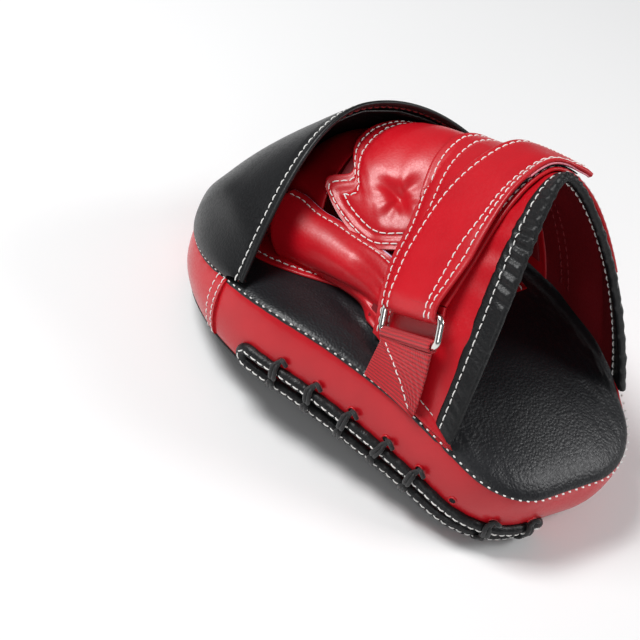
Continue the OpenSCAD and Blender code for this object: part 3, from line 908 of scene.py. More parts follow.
def tube(name: str, path: Array, radius: Array, material: bpy.types.Material, sides: int = 12,
         closed: bool = False, up: Sequence[float] = (0.2, 0.3, 0.9)) -> bpy.types.Object:
    """Makes a round tube along a path.

    Args:
        name: The piece's name.
        path: Its middle line.
        radius: One radius, or one for each point.
        material: Its finish.
        sides: Number of points round it.
        closed: Whether the path's end meets its start.
        up: A direction to start the sides from.
    """
    if closed:
        tangent = unit(np.roll(path, -1, 0) - np.roll(path, 1, 0))
    else:
        tangent = unit(np.gradient(path, axis=0))
    normal = np.empty_like(path)
    n = np.array(up, float)
    for i, t in enumerate(tangent):
        n = unit(n - (n @ t) * t)
        normal[i] = n
    side = np.cross(tangent, normal)
    r = np.broadcast_to(np.asarray(radius, float), len(path))[:, None, None]
    a = np.linspace(0, 2 * np.pi, sides, endpoint=False)[None, :, None]
    rings = path[:, None] + r * (np.cos(a) * normal[:, None] + np.sin(a) * side[:, None])
    run = np.concatenate([[0], np.cumsum(np.linalg.norm(np.diff(path, axis=0), axis=1))])
    uv = np.stack(pair(run[:, None], np.arange(sides)[None, :] * 0.5), -1).reshape(-1, 2) * MM
    m = len(path)
    points = rings.reshape(-1, 3)
    faces = [f[::-1] for f in grid_faces(m, sides, True)]
    if closed:
        last = (m - 1) * sides
        faces += [(j, (j + 1) % sides, last + (j + 1) % sides, last + j) for j in range(sides)]
        faces = faces[:-sides] + [f[::-1] for f in faces[-sides:]]
    else:
        for start, flip in ((0, 1), ((m - 1) * sides, -1)):
            centre = len(points)
            points = np.vstack([points, points[start:start + sides].mean(0)])
            uv = np.vstack([uv, uv[start]])
            ring = [(start + j, start + (j + 1) % sides, centre) for j in range(sides)]
            faces += ring if flip > 0 else [f[::-1] for f in ring]
    return mesh_object(name, points, faces, material, uv, sharp=None)


@dataclass
class Panel:
    """A piece of leather or webbing on a skin, with a swell over it and rounded long edges."""

    skin: Skin
    low: float
    high: float
    swell: Optional[Swell] = None
    seams: tuple[bool, bool, bool, bool] = (True, True, True, True)
    size: tuple[float, float] = (100.0, 100.0)

    def lifted(self, u: Array, v: Array, off: Array) -> tuple[Array, Array]:
        """Returns points off above the skin, and the skin's outward normals."""
        e = 0.002
        u, v = pair(u, v)
        du = self.skin(u + e, v) - self.skin(u - e, v)
        dv = self.skin(u, v + e) - self.skin(u, v - e)
        n = unit(np.cross(dv, du))
        return self.skin(u, v) + np.asarray(off)[..., None] * n, n

    def puff(self, u: Array, v: Array) -> Array:
        """Returns the swell at u and v."""
        return np.zeros(np.broadcast(u, v).shape) if self.swell is None else self.swell(u, v)

    def top(self, u: Array, v: Array, lift: float = 0.0) -> tuple[Array, Array]:
        """Returns points lift above the panel's outer side, and its true normals there."""
        e = 0.004
        u, v = pair(u, v)

        def outer(a: Array, b: Array) -> Array:
            return self.lifted(a, b, self.high + self.puff(a, b))[0]

        n = unit(np.cross(outer(u, v + e) - outer(u, v - e), outer(u + e, v) - outer(u - e, v)))
        return outer(u, v) + lift * n, n

    def build(self, name: str, material: bpy.types.Material, nu: int, nv: int,
              follow: float = 1.0) -> bpy.types.Object:
        """Makes the panel's closed mesh.

        Args:
            name: The piece's name.
            material: Its finish.
            nu: Steps along u.
            nv: Steps along v.
            follow: Share of the swell that its inner side takes too.

        Returns:
            The object.
        """
        u, v = np.meshgrid(np.linspace(0, 1, nu + 1), np.linspace(0, 1, nv + 1), indexing="ij")
        puff = self.puff(u, v)
        outer, n = self.lifted(u, v, self.high + puff)
        inner, _ = self.lifted(u, v, self.low + follow * puff)
        half = (self.high - self.low) / 2
        ends = []
        for j in (-1, 0):
            out = unit(outer[:, j] - outer[:, -2 if j else 1])
            mid = (outer[:, j] + inner[:, j]) / 2
            ends.append([mid + half * (np.cos(a) * out + np.sin(a) * n[:, j]) for a in (0.79, 0.0, -0.79)])
        ring = np.concatenate([outer, np.stack(ends[0], 1), inner[:, ::-1], np.stack(ends[1][::-1], 1)], 1)
        m, k = ring.shape[:2]
        uu = u * self.size[0] * MM
        vv = v * self.size[1] * MM
        pad_u, near_v, far_v = (np.repeat(a, 3, 1) for a in (uu[:, :1], vv[:, :1], vv[:, -1:]))
        uvs = np.stack([np.concatenate([uu, pad_u, uu, pad_u], 1),
                        np.concatenate([vv, far_v, vv[:, ::-1], near_v], 1)], -1)
        near = np.zeros_like(u)
        reach = 3.5
        for on, dist in zip(self.seams, (u * self.size[0], (1 - u) * self.size[0],
                                         v * self.size[1], (1 - v) * self.size[1])):
            if on:
                near = np.maximum(near, np.exp(-dist / reach))
        wear = np.concatenate([near, np.ones((m, 3)), near[:, ::-1], np.ones((m, 3))], 1)
        faces = [f[::-1] for f in grid_faces(m, k, True)]
        for start, flip in ((0, False), ((m - 1) * k, True)):
            top = [start + j for j in range(nv + 1)]
            low = [start + nv + 4 + nv - j for j in range(nv + 1)]
            cap = [(top[j], top[j + 1], low[j + 1], low[j]) for j in range(nv)]
            cap.append((top[-1], start + nv + 1, start + nv + 2, start + nv + 3, low[-1]))
            cap.append((low[0], k + start - 3, k + start - 2, k + start - 1, top[0]))
            faces += [f[::-1] for f in cap] if flip else cap
        return mesh_object(name, ring.reshape(-1, 3), faces, material, uvs.reshape(-1, 2), wear.ravel())


def pucker(dist: Array, run: Array, pitch: float, depth: float, reach: float = 5.0) -> Array:
    """Returns the small gathers that stitches pull into leather beside a seam."""
    wave = 0.6 * np.cos(2 * np.pi * run / pitch) + 0.4 * np.cos(2 * np.pi * run / (pitch * 2.3) + 1.0)
    return depth * wave * np.exp(-np.abs(dist) / reach)


def spline(points: Sequence[Sequence[float]], count: int) -> Array:
    """Returns count places on a smooth curve through rows of numbers."""
    rows = np.array(points, float)
    run = np.concatenate([[0], np.cumsum(np.linalg.norm(np.diff(rows, axis=0), axis=1))])
    keys = np.column_stack([run, rows])
    return keyed(np.linspace(0, run[-1], count), keys)


# ---------------------------------------------------------------- stitching and other repeats

class Thread(Enum):
    """The kinds of stitch: finish, pitch, length, thickness and height of the arch, in millimetres."""

    WHITE = ("thread_white", 4.2, 3.15, 0.34, 0.26)
    SEAM = ("thread_white", 4.3, 0.95, 0.36, 0.30)
    FINE = ("thread_white", 3.6, 2.7, 0.28, 0.22)
    # The inside rows of the hood and the cuff: a dark red thread that paints the shade they lie in.
    DARK = ("thread_dark", 4.2, 3.0, 0.36, 0.20)


def repeat_tree(name: str, material: bpy.types.Material, hole: bool) -> bpy.types.NodeTree:
    """Builds a tree that repeats a stitch or a punched hole along curves.

    Args:
        name: The tree's name.
        material: Finish of what it repeats.
        hole: True for a punched hole's lip, False for a stitch.

    Returns:
        The geometry node group.
    """
    tree = bpy.data.node_groups.new(name, "GeometryNodeTree")
    socket(tree, "Geometry", "Geometry", "INPUT")
    for label, value in (("Pitch", 0.0042), ("Length", 0.003), ("Thickness", 0.0004), ("Arch", 0.0003),
                         ("Wander", 0.06)):
        socket(tree, label, "Float", "INPUT", value)
    socket(tree, "Seed", "Int", "INPUT", 7)
    socket(tree, "Geometry", "Geometry", "OUTPUT")
    w = Wiring(tree)
    inp = w.add("NodeGroupInput").outputs
    curve = w.add("GeometryNodeMeshToCurve", None, Mesh=inp["Geometry"])
    if hole:
        points = w.add("GeometryNodeCurveToPoints", {"mode": "EVALUATED"}, Curve=curve)
    else:
        points = w.add("GeometryNodeCurveToPoints", {"mode": "LENGTH"}, Curve=curve, Length=inp["Pitch"])
    up = w.add("GeometryNodeInputNamedAttribute", {"data_type": "FLOAT_VECTOR"}, Name="up")
    along = w.add("FunctionNodeAlignRotationToVector", {"axis": "X"}, Vector=points.outputs["Tangent"])
    stood = w.add("FunctionNodeAlignRotationToVector", {"axis": "Z", "pivot_axis": "AUTO" if hole else "X"},
                  Rotation=along, Vector=up)
    low = w.math("MULTIPLY", inp["Wander"], -1.0)
    turn = w.add("FunctionNodeRandomValue", {"data_type": "FLOAT"}, Seed=inp["Seed"])
    tree.links.new(low.outputs[0], turn.inputs[2])
    tree.links.new(inp["Wander"], turn.inputs[3])
    spin = w.add("ShaderNodeCombineXYZ", None, Z=turn.outputs[1])
    turned = w.add("FunctionNodeRotateRotation", {"rotation_space": "LOCAL"}, Rotation=stood,
                   Rotate_By=spin)
    half = w.math("MULTIPLY", inp["Length"], 0.5)
    if hole:
        shape = w.add("GeometryNodeCurvePrimitiveCircle", None, Resolution=16, Radius=half)
    else:
        back = w.math("MULTIPLY", half, -1.0)
        sunk = w.math("MULTIPLY", inp["Thickness"], -0.8)
        start = w.add("ShaderNodeCombineXYZ", None, X=back, Z=sunk)
        crest = w.math("MULTIPLY_ADD", inp["Arch"], 2.0, inp["Thickness"])
        middle = w.add("ShaderNodeCombineXYZ", None, Z=crest)
        end = w.add("ShaderNodeCombineXYZ", None, X=half, Z=sunk)
        shape = w.add("GeometryNodeCurveQuadraticBezier", None, Resolution=5, Start=start,
                      Middle=middle, End=end)
    profile = w.add("GeometryNodeCurvePrimitiveCircle", None, Resolution=6, Radius=inp["Thickness"])
    body = w.add("GeometryNodeCurveToMesh", None, Curve=shape, Profile_Curve=profile, Fill_Caps=True)
    repeated = w.add("GeometryNodeInstanceOnPoints", None, Points=points.outputs["Points"], Instance=body,
                     Rotation=turned)
    real = w.add("GeometryNodeRealizeInstances", None, Geometry=repeated)
    smooth = w.add("GeometryNodeSetShadeSmooth", None, Geometry=real)
    dressed = w.add("GeometryNodeSetMaterial", None, Geometry=smooth, Material=material)
    out = w.add("NodeGroupOutput")
    tree.links.new(dressed.outputs[0], out.inputs[0])
    return tree


def run_tree(name: str, tree: bpy.types.NodeTree, rows: list[tuple[Array, Array]],
             values: dict[str, float]) -> bpy.types.Object:
    """Runs a repeat tree on rows of points and keeps its result as a plain mesh.

    Args:
        name: The piece's name.
        tree: The tree.
        rows: Points in millimetres and outward directions of each row.
        values: The tree's inputs by name.

    Returns:
        The piece.
    """
    points, ups, edges = [], [], []
    for path, up in rows:
        start = len(points)
        points += (path * MM).tolist()
        ups += unit(up).ravel().tolist()
        edges += [(start + i, start + i + 1) for i in range(len(path) - 1)]
    mesh = bpy.data.meshes.new(name + "_rows")
    mesh.from_pydata(points, edges, [])
    mesh.attributes.new("up", "FLOAT_VECTOR", "POINT").data.foreach_set("vector", ups)
    carrier = bpy.data.objects.new(name + "_rows", mesh)
    bpy.context.scene.collection.objects.link(carrier)
    modifier = carrier.modifiers.new("repeat", "NODES")
    modifier.node_group = tree
    sockets = {s.name: s.identifier for s in tree.interface.items_tree
               if s.item_type == "SOCKET" and s.in_out == "INPUT"}
    for label, value in values.items():
        modifier[sockets[label]] = value
    graph = bpy.context.evaluated_depsgraph_get()
    made = bpy.data.meshes.new_from_object(carrier.evaluated_get(graph), depsgraph=graph)
    made.name = name
    carrier.modifiers.clear()
    bpy.data.objects.remove(carrier)
    piece = bpy.data.objects.new(name, made)
    bpy.context.scene.collection.objects.link(piece)
    return piece


@dataclass
class Seamstress:
    """Collects rows of stitches by body and thread, and sews each group as one piece."""

    finishes: Finishes
    rows: dict[tuple[str, Thread], list[tuple[Array, Array]]] = field(default_factory=dict)

    def row(self, body: str, thread: Thread, path: Array, up: Array) -> None:
        """Adds one row of points and outward directions."""
        self.rows.setdefault((body, thread), []).append((path, up))

    def sew(self, panel: Panel, u: Array, v: Array, body: str = "root", thread: Thread = Thread.WHITE,
            lift: float = 0.0) -> None:
        """Adds a row along places on a panel's outer side."""
        u, v = pair(u, v)
        self.row(body, thread, *panel.top(u, v, lift))

    def finish(self) -> dict[tuple[str, Thread], bpy.types.Object]:
        """Sews every group and returns the pieces."""
        made = {}
        for (body, thread), rows in self.rows.items():
            finish, pitch, length, thick, arch = thread.value
            name = f"stitches_{thread.name.lower()}_{body}"
            tree = repeat_tree(name, self.finishes[finish], hole=False)
            values = {"Pitch": pitch * MM, "Length": length * MM, "Thickness": thick * MM,
                      "Arch": arch * MM, "Wander": 0.05, "Seed": 11 + len(made)}
            made[body, thread] = run_tree(name, tree, rows, values)
            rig.slot(made[body, thread], "print_white")
        return made


def settle(piece: bpy.types.Object, slot: str, *nodes: str, body: str = "root",
           fill: Optional[float] = None) -> bpy.types.Object:
    """Rides a piece on its body and declares what it stands for.

    Args:
        piece: The piece.
        slot: Material slot of the record.
        *nodes: CAD nodes that it replaces.
        body: The body that it rides on.
        fill: How full a padded piece is, or None.

    Returns:
        The piece.
    """
    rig.ride(piece, body)
    declare(piece, slot, *nodes, fill=fill)
    return piece


def declare(piece: bpy.types.Object, slot: str, *nodes: str, fill: Optional[float] = None) -> None:
    """Names a piece's slot and replaced nodes, and its fill where it is padded."""
    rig.slot(piece, slot)
    if nodes:
        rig.replaces(piece, *nodes)
    if fill is not None:
        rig.padded(piece, fill=fill)
    LOG.info("%s: %d vertices, stands for %s", piece.name, len(piece.data.vertices),
             ", ".join(nodes) or "itself")


# ---------------------------------------------------------------- the pad

@dataclass
class PadSewing:
    """The pad's leather: face, side walls, back and the red panel under the glove."""

    form: PadForm
    finishes: Finishes
    seamstress: Seamstress
    lap_s: float = 36.5
    target_s: float = -6.0
    back: Optional[Panel] = None
    wrist_wall: Optional[Panel] = None
    finger_wall: Optional[Panel] = None

    def bed(self, u: Array, v: Array, inset: float) -> tuple[Array, Array]:
        """Returns x and s over the outline, u from wrist to fingers and v across."""
        a = self.form.arcs
        d = mix(a["wrist_x"], a["end"], np.clip(u, -0.01, 0.9996))
        x, s = self.form.rim(d, inset)
        return x * (2 * np.asarray(v) - 1), s + 0 * np.asarray(v)

    def build_face(self) -> None:
        """Builds the striking face, which tucks under at its rim."""
        form = self.form

        def skin(u: Array, v: Array) -> Array:
            x, s = self.bed(u, 1 - v, 0.4)
            return form.on_face(x, s, 0.9)

        def swell(u: Array, v: Array) -> Array:
            x, s = self.bed(u, 1 - v, 0.4)
            d = form.inside(x, s)
            return 0.9 * (1 - np.exp(-d / 2.2)) - 0.5 * np.exp(-d / 0.8)

        panel = Panel(skin, -1.6, 0.0, swell, size=(335, 190))
        settle(panel.build("pad_face", self.finishes["face_black"], 150, 96, 0.3),
               "face_leather", "face_panel", fill=0.9)

    def swell_back(self, x: Array, s: Array) -> Array:
        """Returns the height of the padded back over its skin at x and s."""
        d = self.form.inside(x, s)
        rise = 2.0 * (1 - np.exp(-d / 5.0)) - 1.6 * np.exp(-d / 1.3)
        crown = 4.6 * np.exp(-(x / 46) ** 2) * ease((-s - 20) / 60) * (1 - np.exp(-np.maximum(d, 0) / 16))
        foot = np.abs(np.abs(x + 1) - 58)
        run = ease((8 - s) / 24)
        seat = groove(foot, 1.3, 4.5) * run
        place = level_map(x, s * 0.35)
        creases = 0.32 * ripples(place, 4.2, 5) * np.exp(-np.abs(np.abs(x) - 50) / 15) * run
        soft = 0.35 * ripples(level_map(x, s), 38, 8)
        return rise + crown + seat + (creases + soft) * (1 - np.exp(-np.maximum(d - 2, 0) / 6))

    def build_back(self) -> None:
        """Builds the padded back panel."""
        form = self.form

        def skin(u: Array, v: Array) -> Array:
            x, s = self.bed(u, v, 0.8)
            return form.on_back(x, s, -0.6)

        def swell(u: Array, v: Array) -> Array:
            return self.swell_back(*self.bed(u, v, 0.8))

        self.back = Panel(skin, -1.8, 0.0, swell, size=(335, 190))
        settle(self.back.build("pad_back", self.finishes["back_black"], 230, 150, 0.3),
               "back_leather", "back_panel", fill=0.8)

    def build_walls(self) -> None:
        """Builds the two side walls, which lap near the hood's corners, and their seams."""
        form, end = self.form, self.form.arcs["end"]
        d = np.linspace(0, end, 4000)
        lap = float(np.interp(self.lap_s, form.rim(d)[1], d))

        def wall_swell(q: Array, f: Array) -> Array:
            near = np.minimum(f + 0.02, 1.03 - f) * WALL_TALL
            place = level_map(q, f * WALL_TALL)
            wave = 0.35 * ripples(place, 46, 3) * (1 - np.exp(-near / 7))
            gathers = pucker((1.02 - f) * WALL_TALL, q, 8.6, 0.22, 3.0)
            return form.swollen(np.clip(f, 0, 1)) + wave + gathers - 1.3 * np.exp(-near / 1.4) + 0.2

        def wrist(u: Array, v: Array) -> Array:
            return form.wall(mix(lap + 5, -lap - 5, u), mix(-0.025, 1.03, v), 0.0)

        def fingers(u: Array, v: Array) -> Array:
            q = mix(lap - 2, 2 * end - lap + 2, u)
            e = np.where(q <= end, -q, 2 * end - q)
            return form.wall(e, mix(-0.025, 1.03, v), 0.0)

        self.wrist_wall = Panel(wrist, -1.2, 0.0, lambda u, v: wall_swell(
            mix(lap + 5, -lap - 5, u) + 0 * v, mix(-0.025, 1.03, v) + 0 * u), size=(2 * lap, 36))
        self.finger_wall = Panel(fingers, -1.2, 0.0, lambda u, v: wall_swell(
            mix(lap - 2, 2 * end - lap + 2, u) + 0 * v, mix(-0.025, 1.03, v) + 0 * u)
            + 1.25 * np.exp(-np.minimum(u, 1 - u) * 2 * (end - lap) / 9), size=(2 * (end - lap), 26))
        red = self.finishes["wall_red"]
        settle(self.wrist_wall.build("wall_wrist", red, 420, 30, 0.9), "wall_leather",
               "side_wall_main", fill=0.9)
        settle(self.finger_wall.build("wall_fingers", red, 300, 26, 0.9), "wall_leather",
               "side_wall_finger", fill=0.9)
        length = 2 * (end - lap) + 4
        f = np.linspace(0.06, 0.97, 30)
        for run in (1.8, 7.0):
            for u in (run / length, 1 - run / length):
                self.seamstress.sew(self.finger_wall, u + 0 * f, f, thread=Thread.FINE)
        e = np.linspace(-end, end, 700)
        path, out = self.seam_line(e, 0.05)
        self.seamstress.row("root", Thread.SEAM, path, out)

    def seam_line(self, e: Array, lift: float) -> tuple[Array, Array]:
        """Returns points in the groove of the back seam, and directions out of it."""
        form = self.form
        x, s = form.rim(e, 0.2)
        low, high = form.on_back(x, s, -1.6), form.on_back(x, s, 1.0)
        xo, so = form.rim(e, -1.0)
        out = unit(unit(high - low) + unit(form.on_back(xo, so, 0) - form.on_back(x, s, 0)))
        return form.on_back(x, s, -1.0) + lift * out, out

    def build_base(self) -> None:
        """Builds the red panel that the glove is sewn on."""
        form = self.form
        half = [(-24, 44), (-9, 46.5), (4, 50.5), (21, 63.5), (42, 72), (62, 70), (80, 62),
                (95, 46), (106, 22)]

        def place(u: Array, v: Array) -> tuple[Array, Array]:
            s = mix(-24.0, 106.0, u)
            return keyed(s, half) * (2 * np.asarray(v) - 1), s + 0 * np.asarray(v)

        def skin(u: Array, v: Array) -> Array:
            x, s = place(u, v)
            return form.on_back(x, s, -0.6 + self.swell_back(x, s))

        def swell(u: Array, v: Array) -> Array:
            _, s = place(u, v)
            side = np.minimum(v, 1 - v) * 2 * keyed(s, half)
            row = groove(side - 3.4, 0.45, 1.3)
            return 1.6 * (1 - np.exp(-side / 6)) + row + pucker(side - 3.4, s, 8.4, 0.18, 3.0)

        panel = Panel(skin, 0.2, 1.4, swell, size=(130, 130))
        settle(panel.build("glove_base", self.finishes["glove_red"], 120, 110, 0.0),
               "glove_leather", "base_panel")
        u = np.linspace(0.01, 0.99, 90)
        width = 2 * keyed(mix(-24.0, 106.0, u), half)
        for v in (3.4 / width, 1 - 3.4 / width):
            self.seamstress.sew(panel, u, v)

    def build_target(self) -> None:
        """Builds the printed ring and disc on the striking face."""
        form = self.form

        def patch(outer: float, inner: float) -> Skin:
            def skin(u: Array, v: Array) -> Array:
                a = 2 * np.pi * np.asarray(u)
                r = mix(inner, outer, np.asarray(v))
                x, s = r * np.cos(a), self.target_s + r * np.sin(a)
                return form.on_face(x, s, 0.0)
            return skin

        for name, finish, node, outer, inner in (
                ("target_ring_print", "print_white", "target_ring", 27.75, 24.5),
                ("target_disc_print", "print_grey", "target_disc", 23.25, 0.02)):
            skin = patch(outer, inner)
            steps, rings = 160, 4 if inner > 1 else 14
            u, v = np.meshgrid(np.arange(steps) / steps, np.linspace(0, 1, rings + 1), indexing="ij")
            down = np.array([0, 0, -1.0])
            top = skin(u, v) + 0.34 * down
            low = skin(u, v) + 0.02 * down
            ring = np.concatenate([top, low[:, ::-1]], 1)
            k = ring.shape[1]
            faces = grid_faces(steps, k, True)
            last = (steps - 1) * k
            faces += [(last + j, j, (j + 1) % k, last + (j + 1) % k) for j in range(k)]
            piece = mesh_object(name, ring.reshape(-1, 3), faces, self.finishes[finish])
            settle(piece, finish, node)

    def build(self) -> None:
        """Builds and dresses every piece of the pad."""
        self.build_face()
        self.build_back()
        self.build_walls()
        self.build_base()
        self.build_target()
        for node in ("impact_foam", "backing_foam"):
            dress_node(node, self.finishes["foam_grey"])


def dress_node(node: str, material: bpy.types.Material) -> None:
    """Gives a CAD node its finish."""
    mesh = frame["nodes"][node].data
    mesh.materials.clear()
    mesh.materials.append(material)


@dataclass
class Lacing:
    """The rolled opening in the near wall, its laces and their punched holes."""

    form: PadForm
    finishes: Finishes
    seamstress: Seamstress
    wall: Panel
    first: float = 15.4
    pitch: float = 20.8
    ties: int = 8
    ends: tuple[float, float] = (10.0, 178.0)
    upper: float = 0.36
    lower: float = 0.14
    hole: float = 0.52
    roll: float = 3.0
    lace_r: float = 1.15
    missing: int = 2

    def spot(self, d: Array, f: Array, off: Array) -> Array:
        """Returns points off above the wall at distance d and height f."""
        d, f, off = pair(d, f, off)
        return self.form.wall(-d, f, self.form.swollen(np.clip(f, 0, 1)) + 0.2 + off)

    def out(self, d: Array, f: Array) -> Array:
        """Returns the wall's outward directions."""
        d, f = pair(d, f)
        along = self.spot(d + 0.5, f, 0) - self.spot(d - 0.5, f, 0)
        up = self.spot(d, f + 0.02, 0) - self.spot(d, f - 0.02, 0)
        n = unit(np.cross(along, up))
        return n * np.sign(np.sum(n * (self.spot(d, f, 1) - self.spot(d, f, 0)), -1, keepdims=True))

    def route(self, count: int) -> tuple[Array, Array]:
        """Returns distances and heights of the closed line of the rolled edges."""
        middle, half = (self.upper + self.lower) / 2, (self.upper - self.lower) / 2
        r = half * WALL_TALL
        a = np.linspace(0, np.pi, 16)
        d0, d1 = self.ends
        straight = np.linspace(d0, d1, count)
        d = np.concatenate([straight, d1 + r * np.sin(a[1:-1]), straight[::-1], d0 - r * np.sin(a[1:-1])])
        f = np.concatenate([0 * straight + middle + half, middle + half * np.cos(a[1:-1]),
                            0 * straight + middle - half, middle - half * np.cos(a[1:-1])])
        return d, f

    def build(self) -> None:
        """Builds the rolled edges, the dark strip between them, the laces and the holes."""
        d, f = self.route(260)
        pinch = np.min(np.abs(d[:, None] - (self.first + self.pitch * np.arange(self.ties))[None]), 1)
        radius = self.roll * (1 - 0.12 * np.exp(-(pinch / 2.6) ** 2)) + 0.12 * np.sin(d * 0.9)
        path = self.spot(d, f, 1.3)
        edges = tube("lacing_edges", path, radius, self.finishes["binding_black"], 16, closed=True,
                     up=self.out(d[:1], f[:1])[0])
        settle(edges, "binding", "placket_upper", "placket_lower")
        strip = Panel(lambda u, v: self.spot(mix(self.ends[0] - 2, self.ends[1] + 2, 1 - u),
                                             mix(self.lower, self.upper, v), 0.0), 0.0, 0.9, size=(170, 8))
        settle(strip.build("lacing_strip", self.finishes["binding_black"], 120, 6), "binding")
        self.seamstress.row("root", Thread.WHITE, self.spot(d, f, 1.3 + self.roll - 0.07), self.out(d, f))
        self.build_laces()

    def build_laces(self) -> None:
        """Builds each tie: two strands over the rolled edges, ending in a curl at their hole."""
        points, faces = [], []
        for i in range(self.ties):
            rng = np.random.default_rng(40 + i)
            d0 = self.first + self.pitch * i
            lean = rng.uniform(-1.2, 1.2)
            if i == self.missing:
                continue
            for strand in (-1, 1):
                o = 1.0 * strand
                rows = [(d0 + o, self.lower - 0.10, -1.2), (d0 + o * 1.1, self.lower - 0.085, 1.2),
                        (d0 + o + 0.5 * lean, self.lower - 0.02, 4.3), (d0 + o, self.lower + 0.05, 5.2),
                        (d0 - o * 0.6, (self.lower + self.upper) / 2, 3.9),
                        (d0 - o, self.upper - 0.03, 5.3), (d0 - o + lean, self.upper + 0.06, 4.6),
                        (d0 - 0.5 * o + lean, self.upper + 0.12, 2.4),
                        (d0 + lean - 1.0, self.hole + 0.015, 1.5)]
                if strand > 0:
                    rows += [(d0 + lean - 3.2, self.hole + 0.035, 2.4),
                             (d0 + lean - 4.6, self.hole - 0.005, 1.9)]
                else:
                    rows += [(d0, self.hole, -1.0)]
                q = spline(rows, 46)
                line = self.spot(q[:, 0], q[:, 1], q[:, 2])
                piece = tube("strand", line, self.lace_r, self.finishes["lace_black"], 10)
                n = len(points)
                points += [tuple(c.co) for c in piece.data.vertices]
                faces += [[n + k for k in p.vertices] for p in piece.data.polygons]
                bpy.data.objects.remove(piece)
        lace = mesh_object("lace_ties", np.array(points) / MM, faces, self.finishes["lace_black"],
                           sharp=None)
        settle(lace, "lace_cord", "lace")
        d = self.first + self.pitch * np.arange(self.ties)
        centre = self.spot(d, self.hole, 0.15)
        rows = [(centre, self.out(d, self.hole))]
        tree = repeat_tree("punched_holes", self.finishes["wall_red"], hole=True)
        lips = run_tree("hole_lips", tree, rows,
                        {"Length": 4.0 * MM, "Thickness": 0.45 * MM, "Wander": 0.0, "Seed": 3})
        settle(lips, "wall_leather")
        # Dark discs in the punched holes: painted shade standing for the shadow inside each hole.
        ups = self.out(d, self.hole)
        points, faces = [], []
        a = np.linspace(0, 2 * np.pi, 20, endpoint=False)
        for c, n in zip(centre, ups):
            x = unit(np.cross(n, [0, 0, 1.0]))
            y = np.cross(n, x)
            start = len(points)
            for lift in (0.12, -0.8):
                points += [c + lift * n + 1.9 * (np.cos(t) * x + np.sin(t) * y) for t in a]
            faces += [[start + j for j in range(20)], [start + 20 + j for j in range(19, -1, -1)]]
            faces += [[start + j, start + 20 + j, start + 20 + (j + 1) % 20, start + (j + 1) % 20]
                      for j in range(20)]
        settle(mesh_object("hole_shade_discs", np.array(points), faces, self.finishes["hole_shade"]), "lining")


# ---------------------------------------------------------------- the hood and the glove

def rim_at(pad: PadForm, s: Array) -> Array:
    """Returns x of the back's rim on the near side at s."""
    e = np.linspace(-pad.arcs["d_finger"], -pad.arcs["wrist_x"], 400)
    x, at = pad.rim(e, 0.0)
    order = np.argsort(at)
    return np.interp(s, at[order], x[order])


@dataclass
class HoodSewing:
    """The finger hood: a taut leather shell with a folded edge, and its lining."""

    form: PadForm
    finishes: Finishes
    seamstress: Seamstress
    height: float = 75.0
    peak_x: float = -17.0

    def edge(self, u: Array) -> Array:
        """Returns x, s and h of the hood's edge."""
        half = self.form.width / 2 - 1
        x = -half * np.cos(np.radians(mix(176, 4, u)))
        reach = np.where(x < self.peak_x, self.peak_x + half + 1, half - self.peak_x + 1)
        h = self.height * (1 - ((x - self.peak_x) / reach) ** 2)
        return np.stack([x, 24 + 21 * h / self.height, h + 0.5], -1)

    def seam(self, u: Array) -> Array:
        """Returns x, s and h of the hood's seam on the pad's rim."""
        half = self.form.width / 2 - 1
        a = np.radians(mix(176, 4, u))
        return np.stack([-half * np.cos(a), self.form.arcs["finger_y"] + half * np.sin(a), 0 * a + 0.3], -1)

    def skin(self, u: Array, v: Array) -> Array:
        """Returns points of the hood, v from its edge to its seam."""
        u, v = pair(u, v)
        full = np.minimum(1, 2 * np.abs(np.cos(np.radians(mix(176, 4, u)))) ** 3)
        a, b = self.edge(u), self.seam(u)
        out = mix(v, np.sin(np.radians(90 * v)), full)
        rise = mix(1 - v, np.cos(np.radians(90 * v)), full)
        return self.form.on_back(mix(a[..., 0], b[..., 0], out), mix(a[..., 1], b[..., 1], out),
                                 mix(b[..., 2], a[..., 2], rise))

    def swell(self, u: Array, v: Array) -> Array:
        """Returns the slack of the hood's leather."""
        u, v = pair(u, v)
        place = level_map(u * 250, v * 90)
        free = np.exp(-((v - 0.55) / 0.4) ** 2)
        row = groove(v * 85 - 3.4, 0.4, 1.2)
        fold = 1.3 * np.exp(-(((u - 0.80) * 250 + v * 40 - 18) / 9) ** 2) * free
        return 1.1 * ripples(place, 75, 21, 6) * free + row + fold

    def build(self) -> None:
        """Builds the shell, its lining and their stitches."""
        shell = Panel(self.skin, -0.9, 1.4, self.swell, size=(300, 85), seams=(False, False, True, True))
        settle(shell.build("hood_shell", self.finishes["hood_black"], 200, 64, 1.0), "hood_leather",
               "finger_hood", "hood_binding", fill=0.5)
        inside = Panel(lambda u, v: self.skin(mix(0.006, 0.994, u), mix(0.05, 0.97, v)), -2.2, -1.1,
                       lambda u, v: self.swell(mix(0.006, 0.994, u), mix(0.05, 0.97, v))
                       - 0.5 * np.abs(ripples(np.stack(pair(u * 250, v * 90, 0 * u), -1), 30, 4)),
                       size=(300, 82), seams=(False, False, True, False))
        settle(inside.build("hood_inside", self.finishes["hood_black"], 150, 40, 1.0), "hood_leather",
               "hood_lining")
        u = np.linspace(0.012, 0.988, 260)
        v = self.depth(u, 3.4)
        self.seamstress.sew(shell, u, v)
        # The hood's stitch line seen from inside, sewn in dark red thread as painted shade for the shadow it lies in.
        flip = Panel(lambda a, b: self.skin(1 - a, b), 0.0, 1.0, lambda a, b: -self.swell(1 - a, b))
        self.seamstress.sew(flip, 1 - u, v, thread=Thread.DARK)

    def depth(self, u: Array, inset: float) -> Array:
        """Returns v at a distance in from the edge."""
        v = np.linspace(0, 0.4, 60)
        p = self.skin(u[:, None], v[None, :])
        run = np.concatenate([np.zeros((len(u), 1)),
                              np.cumsum(np.linalg.norm(np.diff(p, axis=1), axis=-1), 1)], 1)
        return np.array([np.interp(inset, r, v) for r in run])


